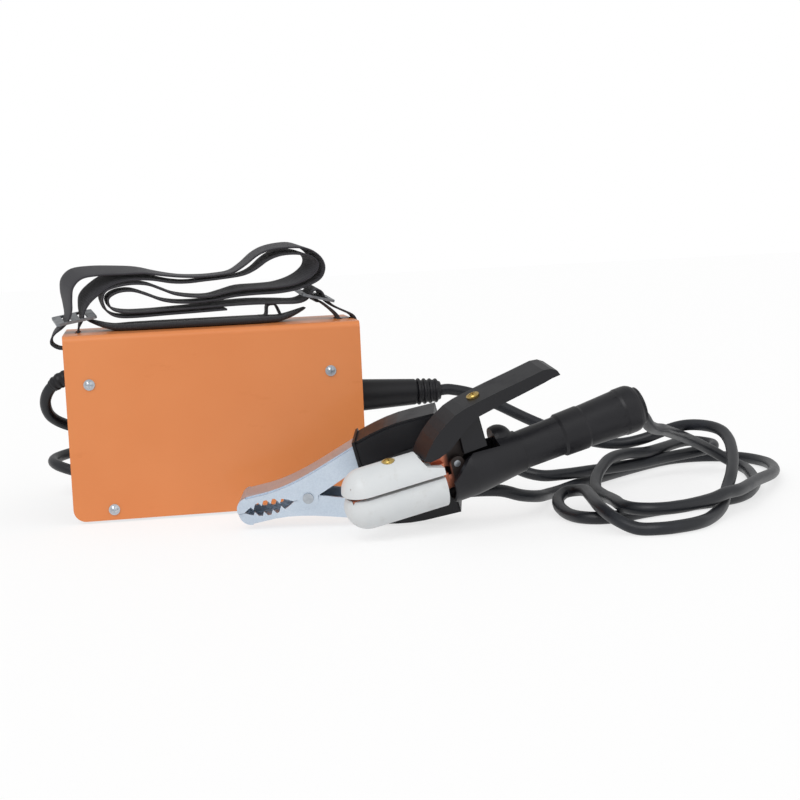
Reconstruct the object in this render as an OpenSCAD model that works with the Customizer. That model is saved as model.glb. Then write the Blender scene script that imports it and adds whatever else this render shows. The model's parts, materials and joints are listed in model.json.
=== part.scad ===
// Small arc welding machine: sheet steel case with its works, carrying strap,
// electrode holder, earth clamp, two welding leads and a mains lead.
// Millimetres. +Z is up, +X is the front panel's side. The origin is under the middle of the case.

/* [Case] */
// Length of the sheet cover, front end to rear end
case_l = 236; // [190:1:300]
// Width of the sheet cover
case_w = 108; // [95:1:140]
// Height of the top of the cover above the floor
case_h = 150; // [140:1:185]
// Thickness of the cover's sheet
skin = 1.2; // [0.8:0.1:2]
// Outer radius of the cover's two long bends
bend_r = 5; // [3:0.5:12]
// Radius of the cover's four lower corners
corner_r = 10; // [3:1:20]
// How far the cover runs out past each end panel
recess = 28; // [24:1:34]
// Height of the rubber feet
foot_h = 3.2; // [2:0.1:6]
// Thickness of the base tray's sheet
tray_t = 1.2; // [0.8:0.1:2]
// Thickness of the moulded end panels
panel_t = 3; // [2:0.1:4]
// Height of the upper cover screws
screw_z = 111; // [95:1:122]
// Diameter of the cover screws' heads
screw_head_d = 8.8; // [7:0.1:11]
// Diameter of the cover screws' threads
screw_d = 4; // [3:0.1:5]

/* [Front panel] */
// Height of the upper panel socket
socket_upper_z = 84; // [80:1:90]
// Height of the lower panel socket
socket_lower_z = 38; // [34:1:44]
// Diameter of the plug's brass pin
pin_d = 9; // [8:0.1:10]
// Largest diameter of a plug boot
boot_d = 29; // [26:0.5:34]
// Length of a plug boot
boot_l = 92; // [75:1:100]
// Diameter of the current knob
knob_d = 22; // [16:1:26]

/* [Rear panel] */
// Side of the square fan frame
fan_w = 80; // [70:1:84]
// Depth of the fan frame
fan_t = 20; // [15:1:25]
// Height of the fan's axis
fan_z = 52; // [48:1:56]

/* [Leads] */
// Diameter of the two welding leads
lead_d = 9.4; // [8:0.1:10]
// Diameter of the mains lead
mains_d = 9.4; // [7:0.1:10]
// Mean radius of the outer loops of the mains coil
coil_r = 64; // [60:1:70]
// Loops of the mains coil
coil_loops = 4; // [2:2:4]

/* [Strap] */
// Width of the webbing
web_w = 30; // [25:1:34]
// Thickness of the webbing
web_t = 1.6; // [1.2:0.1:2]

/* [Electrode holder] */
// Radius of the front collar
collar_r = 19; // [18:0.5:22]
// Radius of the handle's waist
waist_r = 14.4; // [13.5:0.1:15.5]
// Radius of the handle's rear end
rear_r = 18; // [16:0.5:20]
// Radius of the white insulators
insulator_r = 17; // [15.5:0.5:18.5]
// Width of the lever
lever_w = 26; // [24:1:30]
// Diameter of the pivot pin
holder_pin_d = 5; // [4:0.1:6]

/* [Earth clamp] */
// Width over the lower arm
clamp_w = 28.8; // [26:0.1:34]
// Thickness of the clamp's sheet
clamp_t = 1.5; // [1:0.1:2]
// Diameter of the rivet
rivet_d = 6; // [5:0.1:9]
// Thickness of the clamp's sleeves
sleeve_t = 2.2; // [1.5:0.1:3]

/* [Hidden] */
$fn = 48;

fit = 0.3;                                // gap between pieces that only lie beside each other
run = 0.05;                               // radial gap of a running fit
cover_z = 2;                              // lower edge of the cover
inner_w = case_w - 2 * skin;
tray_z = foot_h;
tray_w = inner_w - 2 * fit;
panel_x = case_l / 2 - recess;            // outer face of the front panel
flange_l = 14;
screw_x = panel_x + 6;                    // upper cover screws sit in the panels' flanges
screw_shift = -3.4;                       // and all a little nearer the rear
low_screw_x = panel_x - 4;                // lower ones in the tray's flanges
low_screw_z = 10.4;
tray_flange_h = 14;
panel_z = tray_z + tray_t + fit;
panel_h = case_h - skin - fit - panel_z;
hole_d = screw_d + 0.3;
slot_x = case_l / 2 - 11;                 // strap slots through the cover's top
slot_l = web_w + 4;
slot_w = 4.4;
foot_x = 66;
foot_y = 36;

// ---------- shared shapes ----------

function unit(v) = v / norm(v);
function smooth(t) = let (u = min(max(t, 0), 1)) u * u * (3 - 2 * u);

// Turns v about X, then Y, then Z, as rotate() does.
function turn(v, a) =
    let (x = [v[0], v[1] * cos(a[0]) - v[2] * sin(a[0]), v[1] * sin(a[0]) + v[2] * cos(a[0])],
         y = [x[0] * cos(a[1]) + x[2] * sin(a[1]), x[1], -x[0] * sin(a[1]) + x[2] * cos(a[1])])
    [y[0] * cos(a[2]) - y[1] * sin(a[2]), y[0] * sin(a[2]) + y[1] * cos(a[2]), y[2]];

// A smooth curve through hand-chosen points, two steps to each span.
function curve_point(p, i, t) =
    let (n = len(p) - 1,
         a = i == 0 ? 2 * p[0] - p[1] : p[i - 1],
         b = p[i],
         c = p[i + 1],
         d = i + 1 == n ? 2 * p[n] - p[n - 1] : p[i + 2])
    0.5 * ((2 * b) + (c - a) * t + (2 * a - 5 * b + 4 * c - d) * t * t
        + (3 * b - 3 * c + d - a) * t * t * t);
function curve(p, steps = 2) = concat(
    [for (i = [0:len(p) - 2], k = [0:steps - 1]) curve_point(p, i, k / steps)], [p[len(p) - 1]]);
function heading(p, i) =
    let (n = len(p) - 1)
    i == 0 ? unit(p[1] - p[0]) : i == n ? unit(p[n] - p[n - 1]) : unit(p[i + 1] - p[i - 1]);
function path_length(p) = len(p) < 2 ? 0 : [for (i = 0, s = 0; i < len(p); i = i + 1,
    s = s + (i < len(p) ? norm(p[i] - p[i - 1]) : 0)) s][len(p) - 1];

// Closes a stack of rings into one solid of triangles.
module skin_rings(rings) {
    n = len(rings[0]);
    last = len(rings) - 1;
    sides = [for (i = [0:last - 1], j = [0:n - 1], f = [0, 1])
        let (a = i * n + j, b = i * n + (j + 1) % n)
        f == 0 ? [a, b + n, b] : [a, a + n, b + n]];
    start = [for (j = [1:n - 2]) [0, j, j + 1]];
    finish = [for (j = [1:n - 2]) [last * n, last * n + j + 1, last * n + j]];
    polyhedron([for (r = rings, p = r) p], concat(sides, start, finish));
}

// A round tube along p. The reference direction is never along the path.
module tube(p, r, sides = 8, reference = [0, 0, 1]) {
    skin_rings([for (i = [0:len(p) - 1])
        let (t = heading(p, i), u = unit(cross(reference, t)), v = cross(t, u))
        [for (k = [0:sides - 1]) p[i] + r * (cos(360 * k / sides) * u + sin(360 * k / sides) * v)]]);
}

// A flat band along p, whose width lies along the direction given for each point.
module band(p, width, thickness, directions) {
    skin_rings([for (i = [0:len(p) - 1])
        let (t = heading(p, i), d = directions[i], w = unit(d - (d * t) * t), n = cross(t, w),
             a = w * width / 2, b = n * thickness / 2)
        [p[i] - a - b, p[i] + a - b, p[i] + a + b, p[i] - a + b]]);
}

module along_x(l) rotate([90, 0, 90]) linear_extrude(l) children();
module across_y(w) rotate([90, 0, 0]) linear_extrude(w, center = true) children();
module rod_x(d, l) rotate([0, 90, 0]) cylinder(d = d, h = l);
module rod_y(d, l) rotate([90, 0, 0]) cylinder(d = d, h = l, center = true);

module rounded(w, h, r) {
    translate([-w / 2, -h / 2 + r]) square([w, h - 2 * r]);
    translate([-w / 2 + r, -h / 2]) square([w - 2 * r, h]);
    for (x = [-1, 1], y = [-1, 1])
        translate([x * (w / 2 - r), y * (h / 2 - r)]) circle(r);
}

// ---------- case ----------

module arch(w, top, r, bottom) {
    translate([-w / 2, bottom]) square([w, top - r - bottom]);
    translate([-w / 2 + r, bottom]) square([w - 2 * r, top - bottom]);
    for (s = [-1, 1]) translate([s * (w / 2 - r), top - r]) circle(r);
}

module side_outline() {
    translate([-case_l / 2, cover_z + corner_r]) square([case_l, case_h - cover_z]);
    translate([-case_l / 2 + corner_r, cover_z]) square([case_l - 2 * corner_r, case_h]);
    for (s = [-1, 1]) translate([s * (case_l / 2 - corner_r), cover_z + corner_r]) circle(corner_r);
}

module side_screws(d, l) {
    for (s = [-1, 1]) {
        translate([s * screw_x + screw_shift, 0, screw_z]) rod_y(d, l);
        translate([s * low_screw_x, 0, low_screw_z]) rod_y(d, l);
    }
}

module cover() color("#d2782f") difference() {
    intersection() {
        translate([-case_l / 2, 0, 0]) along_x(case_l) arch(case_w, case_h, bend_r, cover_z);
        across_y(case_w + 2) side_outline();
    }
    translate([-case_l / 2 - 1, 0, 0]) along_x(case_l + 2)
        arch(inner_w, case_h - skin, bend_r - skin, cover_z - 1);
    side_screws(hole_d, case_w + 2);
    for (s = [-1, 1]) translate([s * slot_x, 0, case_h])
        cube([slot_w, slot_l, 4 * skin], center = true);
}

module base_tray() color("#9aa0a4") difference() {
    union() {
        translate([-panel_x, -tray_w / 2, tray_z]) cube([2 * panel_x, tray_w, tray_t]);
        for (s = [-1, 1]) translate([-panel_x, s * (tray_w - tray_t) / 2 - tray_t / 2, tray_z])
            cube([2 * panel_x, tray_t, tray_flange_h]);
    }
    side_screws(hole_d, case_w);
    for (x = [-1, 1], y = [-1, 1]) translate([x * foot_x, y * foot_y, 0]) cylinder(d = hole_d, h = 20);
    for (i = [-4:4], y = [-1, 1]) translate([i * 12, y * 20, tray_z + tray_t / 2])
        cube([4, 26, 4 * tray_t], center = true);
}

module feet() color("#26262a") for (x = [-1, 1], y = [-1, 1]) translate([x * foot_x, y * foot_y, 0]) {
    cylinder(r1 = 6.5, r2 = 7.5, h = foot_h);
    cylinder(d = screw_d, h = foot_h + tray_t + 2);
}

// A moulded end panel with flanges along its two upright sides.
module end_panel() {
    panel_w = inner_w - 2 * fit;
    edge = tray_flange_h + fit;
    translate([panel_x - panel_t, -panel_w / 2 + tray_t + fit, panel_z])
        cube([panel_t, panel_w - 2 * tray_t - 2 * fit, panel_h]);
    translate([panel_x - panel_t, 0, edge])
        along_x(panel_t) translate([0, tray_z]) arch(panel_w, panel_h + panel_z - edge - tray_z,
            bend_r - skin, 0);
    for (s = [-1, 1]) translate([panel_x - panel_t, s * (panel_w - 3) / 2 - 1.5, 60])
        cube([panel_t + flange_l, 3, panel_h + panel_z - bend_r - 60]);
}

module front_panel() color("#26262b") difference() {
    end_panel();
    side_screws(screw_d, case_w);
    for (z = [socket_upper_z, socket_lower_z]) translate([panel_x - 20, 0, z]) rod_x(26.6, 40);
    translate([panel_x - 20, knob_y, knob_z]) rod_x(7.4, 40);
    for (i = [-1:1]) translate([panel_x - 20, lamp_y + i * lamp_gap, knob_z]) rod_x(lamp_d + 0.2, 40);
    for (y = [-1, 1], z = panel_screw_zs) translate([panel_x - 20, y * panel_screw_y, z])
        rod_x(3.3, 40);
}

knob_y = 24;
knob_z = 124;
lamp_y = -22;
lamp_gap = 12;
lamp_d = 5;
panel_screw_y = 42;
panel_screw_zs = [26, 132];
gland_y = 20;
gland_z = 112;
switch_y = -24;
switch_z = 118;
switch_w = 19;
switch_h = 13;

module rear_panel() color("#26262b") difference() {
    mirror([1, 0, 0]) end_panel();
    side_screws(screw_d, case_w);
    translate([-panel_x - 20, 0, fan_z]) rod_x(fan_w - 6, 40);
    for (y = [-1, 1], z = [-1, 1]) translate([-panel_x - 20, y * fan_pitch / 2, fan_z + z * fan_pitch / 2])
        rod_x(4.4, 40);
    translate([-panel_x - 20, gland_y, gland_z]) rod_x(16, 40);
    translate([-panel_x, switch_y, switch_z]) cube([40, switch_w + 0.4, switch_h + 0.4], center = true);
    translate([-panel_x - 20, stud_y, stud_z]) rod_x(6.3, 40);
    for (y = [-1, 1]) translate([-panel_x - 20, y * panel_screw_y, panel_screw_zs[1]]) rod_x(3.3, 40);
}

module pan_screw(d, head_d, l) {
    head_h = head_d * 0.28;
    difference() {
        union() {
            cylinder(d = head_d, h = head_h * 0.4);
            intersection() {
                translate([0, 0, -head_d * 0.36 + head_h - head_d * 0.14]) sphere(d = head_d);
                cylinder(d = head_d, h = head_h);
            }
        }
        for (a = [0, 90]) rotate([0, 0, a])
            translate([-head_d * 0.27, -0.45, head_h * 0.5]) cube([head_d * 0.54, 0.9, head_h]);
    }
    translate([0, 0, -l]) cylinder(d = d, h = l);
}

module cover_screws() color("#c8ccd0") for (x = [-1, 1], y = [-1, 1]) {
    translate([x * screw_x + screw_shift, y * (case_w / 2 + 0.02), screw_z]) rotate([-y * 90, 0, 0])
        pan_screw(screw_d, screw_head_d, 5.4);
    translate([x * low_screw_x, y * (case_w / 2 + 0.02), low_screw_z]) rotate([-y * 90, 0, 0])
        pan_screw(screw_d, screw_head_d, 4.5);
}

module panel_screws() color("#c8ccd0") {
    for (y = [-1, 1], z = panel_screw_zs) translate([panel_x + 0.02, y * panel_screw_y, z])
        rotate([0, 90, 0]) pan_screw(3, 6, 6);
    for (y = [-1, 1]) translate([-panel_x - 0.02, y * panel_screw_y, panel_screw_zs[1]])
        rotate([0, -90, 0]) pan_screw(3, 6, 6);
}

// ---------- front panel's fittings ----------

socket_face = 9;                          // how far a socket stands out of its panel
boot_x = panel_x + socket_face + fit;     // face of the boot

module panel_socket(z) translate([panel_x, 0, z]) {
    color("#2c2c31") difference() {
        union() {
            translate([0.02, 0, 0]) rod_x(31, 4);
            translate([-16, 0, 0]) rod_x(26, 16.1);
            rod_x(25, socket_face);
        }
        translate([-1, 0, 0]) rod_x(15, 20);
        translate([-20, 0, 0]) rod_x(13, 40);
    }
    color("#b9954a") difference() {
        union() {
            translate([-15, 0, 0]) rod_x(12.9, 22);
            translate([-34, 0, 0]) rod_x(8, 20);
            translate([-26, 0, 0]) rotate([0, 90, 0]) cylinder(d = 13, h = 4, $fn = 6);
        }
        translate([-9, 0, 0]) rod_x(pin_d + 0.2, 30);
    }
}

module socket_upper() panel_socket(socket_upper_z);
module socket_lower() panel_socket(socket_lower_z);

module plug_boot(z) color("#232327") translate([boot_x, 0, z]) rotate([0, 90, 0]) difference() {
    rotate_extrude() {
        polygon([[0, 0], [boot_d / 2, 0], [boot_d / 2, 3], [boot_d / 2 - 3.6, boot_l - 22],
            [boot_d / 2 - 4.8, boot_l - 20], [boot_d / 2 - 5.2, boot_l - 4],
            [boot_d / 2 - 7, boot_l], [0, boot_l]]);
        for (i = [0:3]) translate([boot_d / 2 - 4.7 - i * 0.35, boot_l - 18.6 + i * 4.9]) circle(1.5);
    }
    translate([0, 0, -1]) cylinder(d = pin_d, h = 44);
}

module boot_upper() plug_boot(socket_upper_z);
module boot_lower() plug_boot(socket_lower_z);

module plug_pin(z) color("#b9954a") translate([panel_x - 8, 0, z]) difference() {
    union() {
        rod_x(pin_d, socket_face + 42);
        translate([4, 0, pin_d / 2 - 0.6]) rotate([0, 90, 0]) cylinder(d = 1.1, h = 3);
    }
    translate([24, 0, 0]) rod_x(5, 40);
}

module plug_pin_upper() plug_pin(socket_upper_z);
module plug_pin_lower() plug_pin(socket_lower_z);

module current_knob() color("#1f1f23") translate([panel_x + 1, knob_y, knob_z]) rotate([0, 90, 0])
difference() {
    union() {
        cylinder(d = knob_d, h = 4);
        cylinder(d = knob_d - 4, h = 15);
        translate([-knob_d / 2 + 0.4, -1, 0]) cube([knob_d / 2, 2, 15.4]);
    }
    translate([0, 0, -1]) cylinder(d = 6 + 2 * run, h = 13);
    for (i = [1:15]) rotate([0, 0, i * 22.5 + 180]) translate([knob_d / 2 - 2, 0, 5])
        cylinder(d = 1.6, h = 12);
}

module potentiometer() color("#8d9296") translate([panel_x, knob_y, knob_z]) {
    translate([-panel_t - 12, 0, 0]) rod_x(17, 12);
    translate([-panel_t - 1, 0, 0]) rod_x(7, panel_t + 1.6);
    rod_x(6, 12);
}

module indicator_lamps() for (i = [-1:1]) color(i == 0 ? "#d9a520" : i > 0 ? "#3aa655" : "#c03a2b")
    translate([panel_x - panel_t - 4, lamp_y + i * lamp_gap, knob_z]) {
        rod_x(lamp_d, panel_t + 5);
        translate([panel_t + 5, 0, 0]) sphere(d = lamp_d);
        rod_x(lamp_d + 1.2, 1.5);
    }

// ---------- rear panel's fittings ----------

fan_pitch = fan_w * 0.895;
fan_x = -panel_x + panel_t + fit;         // the face of the fan frame
fan_bore = fan_w - 5;
stud_y = 40;
stud_z = 108;

module switch_body() color("#1d1d20") difference() {
    union() {
        translate([-panel_x - 1.3, switch_y, switch_z]) cube([2.4, switch_w + 4, switch_h + 4], center = true);
        translate([-panel_x + 9, switch_y, switch_z]) cube([18.4, switch_w, switch_h], center = true);
    }
    translate([-panel_x + 1, switch_y, switch_z]) cube([17, switch_w - 4, switch_h - 4], center = true);
    translate([-panel_x - 0.6, switch_y, switch_z])
        cylinder(d = 2.3 + 2 * run, h = switch_h - 1, center = true);
}

rocker_tip = 10;
module switch_rocker() color("#a8322a") translate([-panel_x - 0.6, switch_y, switch_z])
    rotate([0, 0, rocker_tip]) {
        linear_extrude(switch_h - 5, center = true)
            polygon([[3, -6], [-2.4, -6.8], [-1.2, 0], [-2.4, 6.8], [3, 6]]);
        cylinder(d = 2.3, h = switch_h - 1.6, center = true);
    }

module fan_frame() color("#212125") translate([fan_x, 0, fan_z]) difference() {
    along_x(fan_t) rounded(fan_w, fan_w, 4);
    translate([-1, 0, 0]) rod_x(fan_bore, fan_t - 2);
    translate([fan_t - 4, 0, 0]) difference() {
        rod_x(fan_bore, 10);
        rod_x(30, 10);
        for (a = [45:90:315]) rotate([a, 0, 0]) translate([0, -2, 0]) cube([10, 4, fan_w / 2]);
    }
    for (y = [-1, 1], z = [-1, 1]) translate([-1, y * fan_pitch / 2, z * fan_pitch / 2]) rod_x(4.4, fan_t + 2);
    translate([fan_t - 10, 0, 0]) rod_x(3 + 2 * run, 8.4);
}

module fan_rotor() color("#2b2b30") translate([fan_x + 2, 0, fan_z]) {
    difference() {
        rod_x(31, fan_t - 7);
        translate([3, 0, 0]) rod_x(28, fan_t);
    }
    rod_x(3, fan_t - 5);
    for (i = [0:6]) rotate([i * 360 / 7, 0, 0]) translate([0, -1, 15]) rotate([0, 0, 32])
        cube([fan_t - 7, 1.4, fan_bore / 2 - 17]);
}

module fan_guard() color("#b9bec3") translate([-panel_x - 1.6, 0, fan_z]) {
    for (r = [12:9:39]) rotate([0, 90, 0]) rotate_extrude() translate([r, 0]) circle(d = 1.6, $fn = 16);
    for (y = [-1, 1], z = [-1, 1]) translate([-0.7, y * fan_pitch / 2, z * fan_pitch / 2]) difference() {
        rod_x(9, 2);
        translate([-1, 0, 0]) rod_x(4.4, 4);
    }
    for (a = [45:90:315]) rotate([a, 0, 0]) translate([0.7, 0, 10])
        cylinder(d = 1.6, h = fan_pitch / 2 * sqrt(2) - 13.5, $fn = 16);
}

module fan_screws() color("#c8ccd0") for (y = [-1, 1], z = [-1, 1])
    translate([-panel_x - 2.35, y * fan_pitch / 2, fan_z + z * fan_pitch / 2]) rotate([0, -90, 0])
        pan_screw(4, 7.4, fan_t + panel_t + 4);

gland_l = 16;
module cord_gland() color("#1f1f23") translate([-panel_x, gland_y, gland_z]) difference() {
    union() {
        translate([-3, 0, 0]) rotate([0, 90, 0]) cylinder(d = 24, h = 3 - 0.02, $fn = 6);
        translate([-gland_l, 0, 0]) rod_x(18, gland_l - 3);
        translate([-1, 0, 0]) rod_x(15.8, panel_t + 8);
        translate([panel_t + fit, 0, 0]) rotate([0, 90, 0]) cylinder(d = 22, h = 4, $fn = 6);
    }
    translate([-gland_l + 2, 0, 0]) rod_x(mains_d, 60);
}

module earth_stud() color("#c8ccd0") translate([-panel_x, stud_y, stud_z]) {
    translate([-14, 0, 0]) rod_x(6, 24);
    translate([-1.4, 0, 0]) rod_x(12.5, 1.38);
    translate([-6.4, 0, 0]) rotate([0, 90, 0]) cylinder(d = 11.5, h = 5, $fn = 6);
    translate([panel_t + 0.02, 0, 0]) rotate([0, 90, 0]) cylinder(d = 11.5, h = 4, $fn = 6);
}

// ---------- works inside the case ----------

board_z = 20;
board_x0 = -60;
board_l = 140;
board_w = 92;
stand_x = [board_x0 + 6, board_x0 + board_l - 6];

module main_board() color("#2f6b3c") difference() {
    translate([board_x0, -board_w / 2, board_z]) cube([board_l, board_w, 1.6]);
    for (x = stand_x, y = [-1, 1]) translate([x, y * (board_w / 2 - 5), 0]) cylinder(d = 3.2, h = 60);
}

module board_standoffs() color("#c9b37a") for (x = stand_x, y = [-1, 1])
    translate([x, y * (board_w / 2 - 5), tray_z + tray_t]) {
        cylinder(d = 7, h = board_z - tray_z - tray_t, $fn = 6);
        cylinder(d = 3, h = board_z - tray_z - tray_t + 4);
        translate([0, 0, board_z - tray_z - tray_t + 1.6]) cylinder(d = 6, h = 2.2);
    }

sink_l = 96;
sink_h = 46;
module heatsinks() color("#aeb4b8") for (s = [-1, 1])
    translate([-50, s * 30, board_z + 1.6]) {
        translate([0, s * 12 - 2, 0]) cube([sink_l, 4, sink_h]);
        for (i = [0:5]) translate([0, s * 12 - s * 1.5 - (s > 0 ? 14 : 0), 3 + i * 8]) cube([sink_l, 14, 2]);
    }

module transformer() {
    color("#4a4a4e") translate([-8, 0, board_z + 1.7]) difference() {
        translate([-18, -13, 0]) cube([36, 26, 40]);
        translate([-12, -14, 7]) cube([24, 28, 26]);
    }
    color("#c8a032") translate([-8, 0, board_z + 21.7]) rotate([90, 0, 0]) difference() {
        cylinder(d = 25.8, h = 20, center = true);
        cube([11, 11, 22], center = true);
    }
}

module choke() translate([-40, 0, board_z + 1.7]) {
    color("#7a4a2c") translate([0, 0, 21]) rotate([0, 90, 0]) rotate_extrude()
        translate([13.5, 0]) circle(d = 13);
    color("#3a3a3e") translate([-7, -12, 0]) cube([14, 24, 3]);
}

module capacitors() color("#3b4a7a") for (s = [-1, 1]) {
    translate([32, s * 11, board_z + 1.7]) cylinder(d = 18, h = 34);
    translate([60, s * 34, board_z + 1.7]) cylinder(d = 20, h = 34);
}

module rectifier() color("#303034") translate([18, -13, board_z + 1.7]) difference() {
    translate([-6, 0, 0]) cube([8, 26, 24]);
    translate([-7, 13, 12]) rod_x(4.4, 12);
}

control_x = 66;
module control_board() {
    color("#2f6b3c") translate([control_x, -40, 96]) cube([1.6, 82, 42]);
    color("#26262a") for (i = [0:2]) translate([control_x + 1.6, -22 + i * 14, 100]) cube([3, 10, 10]);
    color("#c9b37a") for (y = [-36, 38], z = [100, 134]) translate([control_x + 1.6, y, z])
        rod_x(3, panel_x - panel_t - control_x - 1.6 - fit);
}

bus_x = panel_x - 30;
bus_t = 3.8;
module busbars() color("#c07a52") for (s = [-1, 1])
    translate([bus_x, 0, 0]) difference() {
        z = s < 0 ? socket_upper_z : socket_lower_z;
        union() {
            translate([0, s < 0 ? -22 : -8, z - 8]) cube([bus_t, 30, 16]);
            translate([0, s < 0 ? -22 : 14, board_z + 1.7]) cube([bus_t, 8, z - board_z]);
        }
        translate([-1, 0, z]) rod_x(8.2, 8);
    }

// ---------- carrying strap ----------

top_z = case_h;
// The webbing as it lies, each point with how far its width leans back and tips up:
// free end, inner loop of all the plies, down the rear slot, round the rear end of the cover,
// outer loop with both big bends, front buckle, round the front end and up to the sewn end.
strap_points = [
    [13, 163.4, 0.1, 0.05], [-10, 162.7, 0.1, 0.05], [-36, 162, 0.1, 0.05], [-60, 161.2, 0.1, 0.05],
    [-75, 162, 0.1, 0.05], [-83, 166.3, 0.1, 0.05], [-86.4, 173, 0.1, 0.05], [-86.8, 178.6, 0.12, 0.05],
    [-84, 183.4, 0.12, 0.05], [-76, 186.4, 0.12, 0.05], [-63, 188.2, 0.12, 0.06],
    [-50, 186.9, 0.12, 0.06], [-38, 182, 0.1, 0.05], [-28, 177.8, 0.1, 0.05], [-14, 175.2, 0.1, 0.05],
    [0, 174.6, 0.1, 0.05], [12, 177, 0.12, 0.06], [26, 179.6, 0.2, 0.1], [44, 180, 0.25, 0.11],
    [58, 180.6, 0.28, 0.12], [70, 183.2, 0.31, 0.14], [79.6, 187.6, 0.34, 0.15],
    [85.6, 193.6, 0.34, 0.15], [86.2, 200, 0.34, 0.15], [80.6, 205, 0.33, 0.15],
    [70, 207.2, 0.31, 0.14], [58, 206.4, 0.26, 0.1], [48, 202.2, 0.18, 0.05], [38, 195, 0.12, 0.03],
    [28, 190.8, 0.1, 0.03], [12, 188.8, 0.1, 0.03], [-4, 187.8, 0.1, 0.04], [-18, 187, 0.13, 0.05],
    [-32, 188.4, 0.18, 0.1], [-48, 192.2, 0.26, 0.17], [-64, 193.8, 0.32, 0.23],
    [-80, 191.4, 0.35, 0.25], [-92, 184.4, 0.35, 0.25], [-100, 177, 0.3, 0.22], [-103, 169, 0.18, 0.14],
    [-103.6, 162, 0.1, 0.1], [-106, 155, 0.03, 0.03], [-slot_x, 149, 0, 0], [-107.6, 143.4, 0, 0],
    [-113, 138.8, 0, 0], [-122, 138, 0, 0], [-128.6, 142.6, 0, 0], [-126.4, 150, 0.03, 0.03],
    [-120, 156, 0.08, 0.08], [-115.4, 162, 0.12, 0.12], [-114.2, 171, 0.25, 0.2],
    [-114.6, 181, 0.33, 0.25], [-113, 190.5, 0.35, 0.25], [-105, 197.6, 0.35, 0.25],
    [-90, 199.2, 0.35, 0.25], [-72, 198.8, 0.33, 0.23], [-54, 197.8, 0.27, 0.17],
    [-38, 194.4, 0.2, 0.1], [-22, 191.8, 0.14, 0.05], [-6, 190.9, 0.1, 0.04], [8, 191.5, 0.1, 0.03],
    [20, 193.2, 0.1, 0.03], [30, 199, 0.12, 0.03], [40, 206.6, 0.16, 0.04], [50, 210.8, 0.22, 0.07],
    [62, 212.4, 0.28, 0.12], [74, 212.2, 0.32, 0.15], [83, 208.8, 0.34, 0.15],
    [89.6, 202.6, 0.34, 0.15], [91.8, 195, 0.34, 0.15], [88.6, 187, 0.33, 0.15],
    [80, 181.8, 0.31, 0.14], [68, 177.8, 0.28, 0.12], [54, 175.8, 0.25, 0.11], [36, 175.4, 0.2, 0.1],
    [20, 174.2, 0.15, 0.07], [6, 171.8, 0.1, 0.05], [-8, 170.6, 0.1, 0.05], [-24, 170.8, 0.1, 0.05],
    [-38, 173.2, 0.1, 0.05], [-50, 178.2, 0.1, 0.05], [-62, 182.4, 0.12, 0.06],
    [-73, 182.2, 0.12, 0.05], [-80.8, 178.6, 0.1, 0.05], [-82.4, 173.8, 0.1, 0.05],
    [-78.6, 167.8, 0.1, 0.05], [-68, 165, 0.1, 0.05], [-52, 164.6, 0.1, 0.05], [-34, 165.2, 0.1, 0.05],
    [-12, 166, 0.12, 0.07], [10, 167.2, 0.14, 0.1], [34, 167.8, 0.14, 0.12], [56, 167, 0.12, 0.11],
    [70, 166.4, 0.1, 0.09], [77.4, 168, 0.1, 0.09], [81.8, 171.6, 0.1, 0.09], [84.4, 175.4, 0.1, 0.09],
    [88.4, 176.4, 0.1, 0.09], [92.2, 173.6, 0.1, 0.08], [94.8, 168.4, 0.08, 0.06],
    [100, 162.8, 0.05, 0.04], [106, 159, 0.03, 0.02], [112.4, 155.8, 0, 0], [118.6, 152.2, 0, 0],
    [120.8, 147, 0, 0], [118.6, 142.4, 0, 0], [112, 141, 0, 0], [107.4, 144, 0, 0], [106.6, 151, 0, 0],
    [102, 156.8, 0.02, 0.02], [96, 162, 0.04, 0.04], [91, 165.6, 0.08, 0.06], [87, 166.4, 0.08, 0.06]];
strap_path = curve(strap_points);
strap_route = [for (q = strap_path) [q[0], 0, q[1] + top_z - 150]];
web_dirs = [for (q = strap_path) [-q[2], 0.94, q[3]]];

module strap() color("#232027") band(strap_route, web_w, web_t, web_dirs);

// A flat steel frame with two slots for the webbing.
module buckle(l, slot) difference() {
    linear_extrude(2, center = true) rounded(l, web_w + 11, 3);
    for (s = [-1, 1]) translate([s * slot, 0, 0]) cube([6.4, web_w + 3.4, 8], center = true);
}

module buckle_left() color("#8b8f92") translate([-case_l / 2 + 8.6, 0, top_z + 11.9])
    rotate([6, -9, 7]) buckle(33, 6.4);
module buckle_right() color("#8b8f92") translate([case_l / 2 - 30, 0, top_z + 20])
    rotate([5, 14.6, 6]) buckle(28.4, 6.4);

pad_l = 180;
pad_w = 52;
pad_t = 5;
pad_mid = -10;
keeper_x = 47;
// A leaf-shaped pad whose two tips curl up, with the keeper that is sewn to it.
module shoulder_pad() color("#1f2024") translate([0, 0, top_z]) {
    intersection() {
        across_y(pad_w + 2) polygon([for (s = [[0, 1], [pad_t, -1]], i = s[1] > 0 ? [0:18] : [18:-1:0])
            let (u = -1 + i / 9) [pad_mid + u * pad_l / 2, pad_lift(u) + 0.4 + s[0] * (1 - 0.6 * pow(u, 8))]]);
        translate([pad_mid, 0, -1]) linear_extrude(40) intersection() {
            translate([-pad_l / 2, -pad_w / 2]) square([pad_l, pad_w]);
            translate([0, 170 - pad_w / 2 - 7]) circle(170, $fn = 96);
            translate([0, -170 + pad_w / 2 + 7]) circle(170, $fn = 96);
        }
    }
    across_y(web_w - 6) polygon([[keeper_x, pad_t], [keeper_x + 0.6, 14.4], [keeper_x + 8.6, 14.4],
        [keeper_x + 12, pad_t]]);
}
function pad_lift(u) = 9 * pow(max(abs(u) - 0.72, 0) / 0.28, 1.6);

// ---------- electrode holder ----------

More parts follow.
